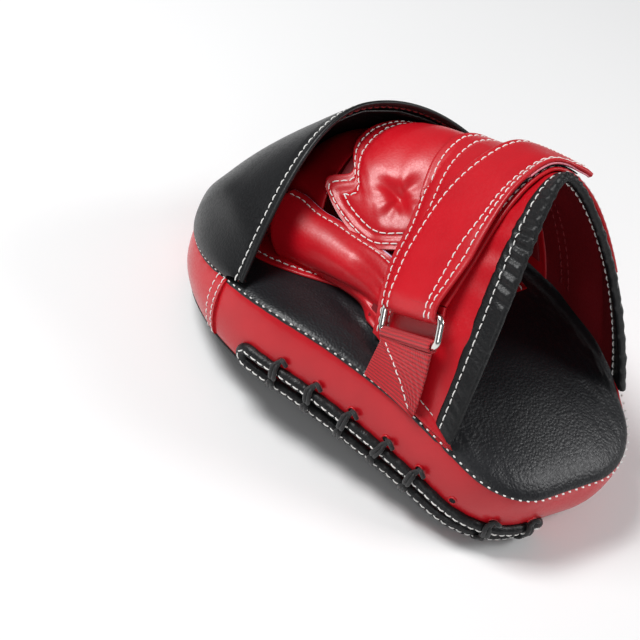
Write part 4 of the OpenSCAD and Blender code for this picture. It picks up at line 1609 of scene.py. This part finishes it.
@dataclass
class GloveSewing:
    """The hand's cover, thumb and finger sleeves, and the cuff."""

    glove: GloveForm
    finishes: Finishes
    seamstress: Seamstress
    near_u: float = 0.246

    def cover_place(self, w: Array, v: Array) -> tuple[Array, Array]:
        """Returns t and u of the hand cover, whose finger edge has a notch and a lobe by the thumb."""
        w, v = pair(w, v)
        edge_t = keyed(w, [(0, -18.7), (0.036, -18.2), (0.066, -11.6), (0.085, -11.2), (0.115, -13.2),
                           (0.164, -16.1), (0.255, -18.4), (0.337, -19.2), (0.6, -20), (1, -20)])
        near = keyed(v, [(0, -18.7, 0.246), (0.18, -12.2, 0.204), (0.45, -1.4, 0.168), (0.72, 7.6, 0.162),
                         (1, 18.0, 0.190)])
        end_t = self.glove.cover_t + 2.0
        t = mix(edge_t, end_t, v) + (1 - w) * (near[..., 0] - mix(-18.7, end_t, v))
        u = mix(mix(self.near_u, 1, w), mix(0.211, 1, w), v)
        u = u + (1 - w) * (near[..., 1] - mix(0.246, 0.211, v))
        return t, u

    def cover_swell(self, w: Array, v: Array) -> Array:
        """Returns the padded cover's height: puffed, with a deep dimple and pulled folds."""
        t, u = self.cover_place(w, v)
        p = self.glove.arch(t, u)
        from_edge = np.minimum(v * 38, np.asarray(w) * 140)
        rows = groove(from_edge - 5.4, 0.7, 1.5) + groove(from_edge - 1.6, 0.5, 0.9)
        body = 2.2 * (1 - np.exp(-np.maximum(from_edge - 5.0, 0) / 7)) * (1 - ease((v - 0.62) / 0.38))
        body = body * (1 - 0.6 * ease((np.asarray(w) - 0.3) / 0.3))
        pit = self.glove.arch(np.array(8.5), np.array(0.29))
        away = p - pit
        dist = np.linalg.norm(away, axis=-1)
        side = np.stack([t - 8.5, (u - 0.29) * 160], -1)
        angle = np.arctan2(side[..., 0], side[..., 1])
        slit = np.hypot(side[..., 0] - 0.5 * side[..., 1], 2.2 * (side[..., 1] + 0.5 * side[..., 0]))
        dimple = groove(slit, 3.4, 6.0) + groove(dist, 2.0, 12)
        folds = (0.5 * np.cos(3 * angle + 0.9) + 0.28 * np.cos(7 * angle)) * np.exp(-((dist - 9) / 6) ** 2)
        gather = pucker(from_edge - 5.4, np.asarray(w) * 140 + np.asarray(v) * 38, 8.4, 0.22, 4.0)
        return rows + body + dimple + folds + gather + 0.25 * ripples(p, 22, 9)

    def build_cover(self) -> None:
        """Builds the hand cover, its lining and its double rows of stitches."""
        arch = self.glove.arch
        cover = Panel(lambda w, v: arch(*self.cover_place(w, v)), -2.6, 0.0, self.cover_swell,
                      size=(150, 38))
        settle(cover.build("hand_cover_pad", self.finishes["glove_red"], 190, 64, 1.0), "glove_leather",
               "hand_cover", fill=0.7)
        inner = Panel(lambda u, v: arch(mix(-16.0, 18.0, v), mix(0.26, 0.97, u)), -5.0, -4.0,
                      size=(120, 34))
        settle(inner.build("hand_cover_lining", self.finishes["lining_red"], 60, 20),
               "lining", "hand_padding")
        for gap, corner in ((1.7, 0.02), (5.4, 0.05)):
            w = np.linspace(0.98, corner, 170)
            v = np.full_like(w, gap / 38) * (1 + 0.25 * np.exp(-((w - 0.06) / 0.05) ** 2) * (gap > 3))
            turn = np.linspace(0, np.pi / 2, 12)[1:-1]
            w1, v1 = corner * 0.35 + gap / 150 * 0.8, gap / 38
            wt = w1 + (corner - w1) * (1 - np.sin(turn))
            vt = v1 * (1 + 1.2 * (1 - np.cos(turn)))
            v2 = np.linspace(vt[-1] + 0.02, 0.93, 50)
            self.seamstress.sew(cover, np.concatenate([w, wt, 0 * v2 + w1]), np.concatenate([v, vt, v2]))

    def build_thumb(self) -> None:
        """Builds the thumb's sleeve with its open, cut edge."""
        g = self.glove

        def skin(u: Array, v: Array) -> Array:
            k, c = np.asarray(v, float), 1 - np.asarray(u, float)
            k, c = np.broadcast_arrays(k, c)
            t = mix(g.cover_t + 12, g.edge_t - 12, k)
            rim_u = keyed(t, [(-32, 0.206), (-26, 0.202), (-18.6, 0.184), (-9, 0.177), (-0.5, 0.170),
                              (15, 0.165), (30, 0.15)])
            far = np.clip((g.cover_t - t) / (g.cover_t - g.edge_t + 12), 0, 1)
            a = np.stack([mix(-46, -54, far), g.foot_z(t) - 1.2], -1)
            b = np.stack([mix(-57, -71, far), mix(5, 13, far)], -1)
            e = g.section(t, rim_u) + [1.6, -1.0]
            d = e - np.stack([mix(13, 18, far), mix(1, 2, far)], -1)
            under = g.section(t, rim_u * c) + [1.8, -0.4]
            p = mix(bezier(a, b, d, e, c), under, ease((t - 4) / 16)[..., None])
            return g.hand(p[..., 0], t, p[..., 1])

        def swell(u: Array, v: Array) -> Array:
            u, v = pair(u, v)
            place = level_map(u * 55, v * 50)
            row = groove(u * 55 - 4.0, 0.45, 1.3)
            crease = groove(u - 0.70 - 0.10 * v, 1.6, 0.06) * ease(1.3 - v)
            roll = 1.5 * np.exp(-((u - 0.45) / 0.2) ** 2)
            pull = 0.5 * np.cos((u * 55 + v * 18) * 0.55) * np.exp(-v * 50 / 12)
            return row + crease + roll + pull + 0.4 * ripples(place, 24, 14)

        panel = Panel(skin, -0.2, 1.3, swell, size=(55, 50), seams=(True, False, True, False))
        settle(panel.build("thumb_pocket", self.finishes["glove_red"], 90, 70, 1.0), "glove_leather",
               "thumb_sleeve", fill=0.5)
        v = np.linspace(0.03, 0.97, 60)
        self.seamstress.sew(panel, 4.0 / 55, v, thread=Thread.FINE)
        top, _ = panel.top(0 * v + 0.001, np.linspace(0.0, 1.0, 60), -0.7)
        rim = tube("thumb_cut_edge", top, 0.72, self.finishes["cut_edge"], 8)
        settle(rim, "glove_leather")

    def build_fingers(self) -> None:
        """Builds the red sleeve for the fingers inside the hood."""
        g, form = self.glove, self.glove.pad
        c, s = np.cos(g.tilt), np.sin(g.tilt)

        def skin(u: Array, v: Array) -> Array:
            u = np.clip(mix(0.98, 0.02, np.asarray(u, float)), 0.02, 0.98)
            u, v = np.broadcast_arrays(u, np.asarray(v, float))
            p = g.section(np.full_like(u, g.edge_t), u)
            x = 0.9 * p[..., 0]
            y = 0.9 * p[..., 1] * s - (g.edge_t - 2) * c
            z = np.maximum(0.89 * (g.edge_t * s + p[..., 1] * c), g.foot_lift)
            a = np.pi * u
            ex, ey, ez = -54 * np.cos(a), 58 + 36 * np.sin(a), g.foot_lift
            out = mix(v, np.sin(np.pi / 2 * v), 0.8)
            rise = mix(1 - v, np.cos(np.pi / 2 * v), 0.8)
            return form.on_back(mix(x, ex, out), mix(y, ey, out), mix(ez, z, rise))

        def swell(u: Array, v: Array) -> Array:
            u, v = pair(u, v)
            fingers = 1.6 * np.cos(2 * np.pi * 3.5 * (u - 0.5)) * np.exp(-((v - 0.35) / 0.35) ** 2)
            return fingers + 0.5 * ripples(level_map(u * 150, v * 60), 26, 17)

        panel = Panel(skin, -1.3, 0.0, swell, size=(160, 60), seams=(False, False, True, True))
        settle(panel.build("fingers_pocket", self.finishes["glove_red"], 110, 44, 1.0), "glove_leather",
               "finger_sleeve", fill=0.6)

    def cuff_edge(self, u: Array) -> Array:
        """Returns t of the cuff's finger edge, which is sewn over the hand cover."""
        return keyed(u, [(0, 26), (0.045, 24.5), (0.09, 22.0), (0.17, 19.2), (0.245, 19.6),
                         (0.319, 16.4), (0.396, 13.8), (0.49, 13.2), (0.75, 14), (1, 15)])

    def build_cuff(self) -> None:
        """Builds the cuff's wall, lining and gathered binding, and their stitches."""
        g, arch = self.glove, self.glove.arch
        inner_t = g.cuff_t - g.binding

        def skin(u: Array, v: Array) -> Array:
            u, v = pair(u, v)
            return arch(mix(self.cuff_edge(u), inner_t + 1.0, v), u)

        def swell(u: Array, v: Array) -> Array:
            u, v = pair(u, v)
            p = skin(u, v)
            over = 1.3 * np.exp(-v * CUFF_LENGTH / 7)
            rows = groove(v * CUFF_LENGTH - 2.2, 0.4, 1.1) + groove(v * CUFF_LENGTH - 8.5, 0.4, 1.1)
            soft = 0.45 * ripples(p, 34, 31) * (1 - np.exp(-v * CUFF_LENGTH / 9))
            tug = 0.55 * np.cos(u * 115 + 1.3) * np.exp(-(1 - v) * CUFF_LENGTH / 9)
            tug = tug * np.exp(-((u - 0.3) / 0.16) ** 2)
            puff = 0.5 * np.sin(np.pi * np.clip(v, 0, 1)) ** 0.8
            return over * (1 - ease((u - 0.9) / 0.1)) + rows + soft + tug + puff

        cuff = Panel(skin, 0.0, 1.4, swell, size=(CUFF_ROUND, CUFF_LENGTH))
        settle(cuff.build("cuff_wall", self.finishes["glove_red"], 220, 64, 0.6), "glove_leather",
               "cuff_panel", fill=0.5)
        for gap in (2.2, 8.5):
            u = np.linspace(0.02, 0.98, 240)
            self.seamstress.sew(cuff, u, gap / CUFF_LENGTH)
        lining = Panel(lambda u, v: arch(mix(g.cover_t, inner_t + 0.5, v), u), -2.0, -0.8,
                       lambda u, v: 0.35 * ripples(arch(mix(g.cover_t, inner_t, v) + 0 * u, u + 0 * v),
                                                   26, 33),
                       size=(CUFF_ROUND, 55))
        settle(lining.build("cuff_inside", self.finishes["lining_red"], 130, 36, 1.0),
               "lining", "cuff_lining")
        self.build_foot(inner_t)
        # The cuff's stitch rows seen from inside, sewn in dark red thread as painted shade for the shadow inside the
        # cuff.
        flip = Panel(lambda u, v: arch(mix(g.cover_t, inner_t, v), 1 - u), 0.0, 2.2)
        for v in (0.25, 0.34):
            self.seamstress.sew(flip, np.linspace(0.03, 0.5, 80), v, thread=Thread.DARK)

        def bound(u: Array, v: Array) -> Array:
            return arch(mix(inner_t + 0.2, g.cuff_t + 1.0, v), u)

        def gathers(u: Array, v: Array) -> Array:
            u, v = pair(u, v)
            run = u * CUFF_ROUND
            place = level_map(run * 3.2, v * 9)
            fine = 0.22 * ripples(place, 9, 44)
            deep = 0.75 * np.cos(run * 1.45 + 2 * v) * np.exp(-((u - 0.30) / 0.07) ** 2)
            top = 0.5 * np.cos(run * 1.2) * np.exp(-((u - 0.55) / 0.06) ** 2)
            row = groove(v - 0.27, 0.4, 0.08)
            return (fine + deep + top) * ease(v * 3) + row

        binding = Panel(bound, -2.2, 2.0, gathers, size=(CUFF_ROUND, 9))
        settle(binding.build("cuff_edge", self.finishes["binding_black"], 420, 20, 0.0), "binding",
               "cuff_binding")
        u = np.linspace(0.008, 0.992, 300)
        self.seamstress.sew(binding, u, 0.27)
        under = Panel(lambda a, v: bound(1 - a, v), 0.0, 2.25)
        self.seamstress.sew(under, np.linspace(0.008, 0.6, 180), 0.27)

    def build_foot(self, inner_t: float) -> None:
        """Builds the flange that carries the cuff's near foot down into the back seam."""
        g, pad = self.glove, self.glove.pad

        def skin(u: Array, v: Array) -> Array:
            u, v = pair(u, v)
            t = mix(30.0, inner_t + 4, u)
            top = g.arch(t, 0.05 + 0 * t)
            foot = g.arch(t, 0 * t)
            s = mix(-44.0, -91.0, u)
            e = rim_at(pad, s)
            low = pad.on_back(e + 1.0, s, 0.1)
            return bezier(top, foot, mix(foot, low, 0.5), low, v)

        flange = Panel(skin, -0.6, 0.7, size=(50, 12))
        settle(flange.build("cuff_foot", self.finishes["glove_red"], 50, 14, 1.0), "glove_leather")
        top, up = flange.top(np.linspace(0.42, 0.99, 60), np.linspace(0.62, 0.45, 60), 0.0)
        self.seamstress.row("root", Thread.FINE, top, up)

    def build(self) -> None:
        """Builds and dresses every piece of the glove."""
        self.build_fingers()
        self.build_thumb()
        self.build_cover()
        self.build_cuff()


# ---------------------------------------------------------------- the strap

@dataclass
class StrapSewing:
    """The elastic tab, the ring and the strap that folds back through it."""

    form: StrapForm
    finishes: Finishes
    seamstress: Seamstress

    def build_elastic(self) -> None:
        """Builds the webbing from the back seam to the ring, its folded layer and its wrap."""
        f = self.form
        pad = f.glove.pad

        def web(k: Array, w: Array) -> Array:
            k, w = pair(k, w)
            foot = pad.on_back(mix(-75, -66, w), mix(-45, -71, w), -0.6)
            middle = pad.on_back(mix(-70, -62, w), mix(-41, -66, w), mix(6, 12, w))
            head = f.ring((0.5 - w) * f.width, 0.4, -f.bars - 3.0)
            return bezier(foot, mix(foot, middle, 0.7), mix(middle, head, 0.3), head, k)

        length = float(np.linalg.norm(web(0, 0.5) - web(1, 0.5)))
        ribs = lambda k, w: 0.16 * np.cos(2 * np.pi * k * length / 1.6) + 0 * w
        tab = Panel(web, -f.elastic / 2, f.elastic / 2, ribs, size=(length, f.width))
        red = self.finishes["elastic_red"]
        settle(tab.build("elastic_web", red, 180, 24, 1.0), "elastic", "elastic_tab")

        def flap(k: Array, w: Array) -> Array:
            k, w = pair(k, w)
            near = mix(-0.04, 0.90, k)
            return web(mix(1.0, 0.07, k), mix(near, 1.03, w))

        fold = Panel(lambda k, w: flap(1 - k, w), f.elastic / 2 + 0.25, 1.5 * f.elastic + 0.1,
                     lambda k, w: 0.14 * np.cos(2 * np.pi * (w * f.width * 0.9 - k * 6) / 1.7),
                     size=(length, 20))
        settle(fold.build("elastic_fold", red, 150, 24, 1.0), "elastic")
        k = np.linspace(0.04, 0.86, 60)
        self.seamstress.sew(fold, k, 0.08, thread=Thread.FINE)

        def wrap(u: Array, v: Array) -> Array:
            a = mix(-2.2, 3.9, np.asarray(u, float))
            r = f.wire / 2 + 0.1
            return f.ring((0.5 - np.asarray(v)) * f.width, r * np.cos(a), r * np.sin(a) - f.bars)

        sleeve = Panel(wrap, 0.0, f.elastic, lambda u, v: 0.14 * np.cos(2 * np.pi * u * 16 / 1.6) + 0 * v,
                       size=(16, f.width))
        settle(sleeve.build("elastic_wrap", red, 90, 24, 0.0), "elastic", "elastic_loop")

    def build_ring(self) -> None:
        """Builds the bent wire ring."""
        f = self.form
        half_w, half_h, r = (f.inside + f.wire) / 2, f.bars / 2, f.wire
        turns = np.linspace(0, np.pi / 2, 14)
        rows = []
        for i, (cw, ch) in enumerate(((1, 1), (-1, 1), (-1, -1), (1, -1))):
            a = turns + i * np.pi / 2
            rows.append(np.stack([cw * (half_w - r) + r * np.cos(a),
                                  ch * (half_h - r) + r * np.sin(a)], -1))
        flat = np.concatenate(rows)
        closed = np.concatenate([flat, flat[:1]])
        run = np.concatenate([[0], np.cumsum(np.linalg.norm(np.diff(closed, axis=0), axis=1))])
        at = np.linspace(0, run[-1], 160, endpoint=False)
        across, up = np.interp(at, run, closed[:, 0]), np.interp(at, run, closed[:, 1])
        path = f.ring(across, 0.0, up - half_h)
        piece = tube("ring_wire", path, f.wire / 2 - 0.02, self.finishes["nickel"], 20, closed=True,
                     up=f.axes[3])
        settle(piece, "nickel", "strap_ring", body="strap_ring")

    def build_strap(self) -> None:
        """Builds the strap's lower layer, its turn round the bar and its tail, with hook and loop."""
        f = self.form
        red = self.finishes["glove_red"]

        def worn(k: Array, w: Array) -> Array:
            k, w = pair(k, w)
            side = np.minimum(w, 1 - w) * f.width
            row = groove(side - 2.6, 0.28, 0.9)
            return row + 0.35 * (1 - np.exp(-side / 5)) + 0.12 * ripples(level_map(k * 110, w * 36), 20, 51)

        under = Panel(f.base, 0.0, f.thick, worn, size=(135, f.width))
        low = under.build("strap_under", red, 150, 28, 0.0)
        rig.blend(low, "root", "strap_ring", start=tuple(f.base(0.20, 0.5) * MM),
                 end=tuple(f.base(0.03, 0.5) * MM))
        declare(low, "glove_leather", "strap_base")
        loops = Panel(lambda k, w: f.line(mix(0.3, 0.95, k), mix(0.08, 0.92, w), 0.0, f.tail_u, f.slant,
                                          f.base_lift + f.thick + 0.45), 0.0, f.patch, size=(70, 30))
        settle(loops.build("loop_tape", self.finishes["loop_black"], 70, 16), "hook_loop", "loop_patch")

        def turn(k: Array, w: Array) -> Array:
            k, w = pair(k, w)
            r = f.layer + 0.02
            straight = f.fold_end
            arc = np.pi * r
            run = k * (2 * straight + arc)
            a = np.clip((run - straight) / r, 0, np.pi)
            rest = np.where(run < straight, straight - run, np.maximum(run - straight - arc, 0))
            return f.ring((0.5 - w) * f.width, -r * np.cos(a), rest - r * np.sin(a))

        bend = Panel(turn, 0.0, f.thick, size=(18, f.width))
        piece = bend.build("strap_turn", red, 60, 28, 0.0)
        ends = [tuple(f.ring(0.0, side * (f.layer + f.thick), 1.0) * MM) for side in (-1, 1)]
        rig.blend(piece, "strap_ring", "strap_tail", start=ends[0], end=ends[1])
        declare(piece, "glove_leather", "strap_fold")

        tail = self.tail_sheet()

        def raised(k: Array, w: Array) -> Array:
            k, w = pair(k, w)
            return worn(k, w) + 1.8 * ease((k - 0.9) / 0.1) * ease(w)

        over = Panel(tail, 0.0, f.thick, raised, size=(108, f.width))
        piece = over.build("strap_tail_band", red, 210, 30, 0.55)
        middle, ahead, behind = (f.tail(f.split + k, 0.5) for k in (0.0, 0.05, -0.05))
        along = unit(ahead - behind)
        fold = {"start": tuple(middle * MM), "end": tuple((middle + 12 * along) * MM)}
        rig.blend(piece, "strap_tail", "strap_tip", **fold)
        declare(piece, "glove_leather", "strap_tail_near", "strap_tail_tip")
        self.fold = fold
        hook_lift = f.base_lift + f.thick + f.patch + 0.8

        def hook_k(k: Array) -> Array:
            return mix(f.split + 0.1, 0.992, k)

        hooks = Panel(lambda k, w: f.line(hook_k(k), mix(0.06, 1.015, w), 0.0, f.tail_u, f.slant, hook_lift),
                      0.0, f.patch + 0.2,
                      lambda k, w: 0.8 * 1.8 * ease((hook_k(k) - 0.9) / 0.1) * ease(w), size=(45, 34))
        settle(hooks.build("hook_tape", self.finishes["hook_pink"], 60, 20, 1.0), "hook_loop", "hook_patch",
               body="strap_tip")
        self.sew_strap(under, over)

    def tail_sheet(self) -> Callable[[Array, Array], Array]:
        """Returns the tail's underside as one soft line from the bar's lower side to the tip."""
        f = self.form
        w = np.linspace(0, 1, 25)[None, :]
        a = np.linspace(np.radians(70), np.pi, 14)[:, None]
        r = f.layer + 0.06
        round_bar = f.ring((0.5 - w) * f.width + 0 * a, -r * np.cos(a), -r * np.sin(a))
        rest = f.tail(np.linspace(0.0, 1.0, 120)[:, None], w, 0.02)
        rows = np.concatenate([round_bar, rest])
        run = np.concatenate([[0], np.cumsum(np.linalg.norm(np.diff(rows[:, 12], axis=0), axis=1))])
        at = np.linspace(0, run[-1], 260)
        even = np.stack([[np.interp(at, run, rows[:, j, i]) for i in range(3)] for j in range(25)], 1)
        even = np.transpose(even, (2, 1, 0))
        kernel = np.hanning(25) / np.hanning(25).sum()
        padded = np.pad(even, ((12, 12), (0, 0), (0, 0)), mode="edge")
        soft = np.apply_along_axis(lambda c: np.convolve(c, kernel, "valid"), 0, padded)
        weight = ease((at - run[13] + 1.0) / 5.0) * ease((run[-1] - at) / 5.0)
        even = mix(even, soft, weight[:, None, None])

        def sheet(k: Array, w: Array) -> Array:
            k, w = pair(k, w)
            x, y = np.clip(k, 0, 1) * 259, np.clip(w, 0, 1) * 24
            i, j = np.minimum(x.astype(int), 258), np.minimum(y.astype(int), 23)
            a, b = (x - i)[..., None], (y - j)[..., None]
            low = mix(even[i, j], even[i + 1, j], a)
            return mix(low, mix(even[i, j + 1], even[i + 1, j + 1], a), b)

        return sheet

    def sew_strap(self, under: Panel, over: Panel) -> None:
        """Sews the strap's edges, and a double row along the tail's wrist edge."""
        inset = 2.6 / self.form.width
        k = np.linspace(0.03, 0.975, 180)
        for w in (inset, 1 - inset, 1 - 2.1 * inset):
            self.seamstress.sew(over, k, w, body="strap_tail")
        w = np.linspace(inset, 1 - inset, 50)
        self.seamstress.sew(over, 0.975, w, body="strap_tail")
        k = np.linspace(0.24, 0.98, 150)
        for w in (inset, 1 - inset):
            self.seamstress.sew(under, k, w)

    def build(self) -> None:
        """Builds and dresses every piece of the closure."""
        self.build_elastic()
        self.build_ring()
        self.build_strap()


# ---------------------------------------------------------------- the studio

@dataclass(frozen=True)
class Studio:
    """The floor, the soft lights and the camera."""

    azimuth: float = np.radians(-49.8)
    elevation: float = np.radians(35.4)
    roll: float = np.radians(20.0)
    distance: float = 1.076
    lens: float = 120.8
    aside: float = 0.0447
    above: float = 0.0051

    def build_camera(self, form: PadForm) -> None:
        """Builds the camera, aimed so that the pad's crest stands a little right of the middle."""
        ca, sa = np.cos(self.azimuth), np.sin(self.azimuth)
        ce, se = np.cos(self.elevation), np.sin(self.elevation)
        back = np.array([sa * ce, -ca * ce, se])
        right = np.array([ca, sa, 0.0])
        up = np.cross(back, right)
        cr, sr = np.cos(self.roll), np.sin(self.roll)
        right, up = cr * right + sr * up, cr * up - sr * right
        back, right, up = (form.levelled(a) for a in (back, right, up))
        crest = form.bend(0.0, 0.0, 0.0) * MM
        place = crest + self.distance * back
        aim = unit(back + self.aside * right + self.above * up)
        right = unit(right - (right @ aim) * aim)
        up = np.cross(aim, right)
        data = bpy.data.cameras.new("camera")
        data.lens = self.lens
        data.sensor_width = 36.0
        data.clip_end = 20.0
        camera = bpy.data.objects.new("camera", data)
        bpy.context.scene.collection.objects.link(camera)
        turn = Matrix([(*row, 0.0) for row in np.stack([right, up, aim], 1).tolist()] + [(0, 0, 0, 1)])
        turn.translation = place.tolist()
        camera.matrix_world = turn
        bpy.context.scene.camera = camera

    def build_light(self, name: str, place: Sequence[float], size: float, power: float) -> None:
        """Builds one square light aimed at the mitt."""
        data = bpy.data.lights.new(name, "AREA")
        data.energy = power
        data.size = size
        lamp = bpy.data.objects.new(name, data)
        bpy.context.scene.collection.objects.link(lamp)
        back = unit(np.array(place, float) - np.array([0, 0, 0.06]))
        side = unit(np.cross([0.02, 0.01, 1.0], back))
        rows = np.stack([side, np.cross(back, side), back], 1)
        turn = Matrix([(*row, 0.0) for row in rows.tolist()] + [(0, 0, 0, 1)])
        turn.translation = list(place)
        lamp.matrix_world = turn

    def build(self, form: PadForm) -> None:
        """Builds the floor, the world, the lights and the camera."""
        self.build_camera(form)
        mesh = bpy.data.meshes.new("floor")
        r = 4.0
        corners = [(-r, -r), (r, -r), (r, r), (-r, r)]
        mesh.from_pydata([(x, y, -0.0004) for x, y in corners], [], [(0, 1, 2, 3)])
        floor = bpy.data.objects.new("floor", mesh)
        bpy.context.scene.collection.objects.link(floor)
        mat, _, shader = blank("floor_pale")
        shader.inputs["Base Color"].default_value = (0.93, 0.93, 0.93, 1)
        shader.inputs["Roughness"].default_value = 0.9
        mesh.materials.append(mat)
        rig.stage(floor)
        world = bpy.data.worlds.new("studio")
        world.use_nodes = True
        world.node_tree.nodes["Background"].inputs[0].default_value = (0.95, 0.97, 1.0, 1)
        world.node_tree.nodes["Background"].inputs[1].default_value = 0.17
        bpy.context.scene.world = world
        bpy.context.scene.view_settings.view_transform = "Standard"
        self.build_light("key", (-0.55, 0.45, 1.15), 0.5, 15)
        self.build_light("front", (-0.9, -1.0, 0.75), 0.6, 3.4)
        self.build_light("wrist", (0.9, -0.7, 0.9), 0.5, 7)


def main() -> None:
    """Builds the mitt in order, from the pad to the strap, and reports each piece."""
    logging.basicConfig(level=logging.INFO, format="%(name)s %(message)s")
    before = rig.bounds()
    form = PadForm()
    glove = GloveForm(form)
    strap = StrapForm(glove)
    low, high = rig.box("face_panel")
    LOG.info("CAD pad %.4f to %.4f m along y", low[1], high[1])
    finishes = Finishes()
    seamstress = Seamstress(finishes)
    Studio().build(form)
    pad = PadSewing(form, finishes, seamstress)
    pad.build()
    Lacing(form, finishes, seamstress, pad.wrist_wall).build()
    HoodSewing(form, finishes, seamstress).build()
    GloveSewing(glove, finishes, seamstress).build()
    closure = StrapSewing(strap, finishes, seamstress)
    closure.build()
    for (body, _), piece in seamstress.finish().items():
        if body == "strap_tail":
            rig.blend(piece, "strap_tail", "strap_tip", **closure.fold)
        else:
            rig.ride(piece, body)
        LOG.info("%s: %d vertices", piece.name, len(piece.data.vertices))
    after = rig.bounds()
    with open("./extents.json", "w") as out:
        json.dump({"cad": [list(c) for c in before], "visual": [list(c) for c in after]}, out)


if __name__ == "__main__":
    main()
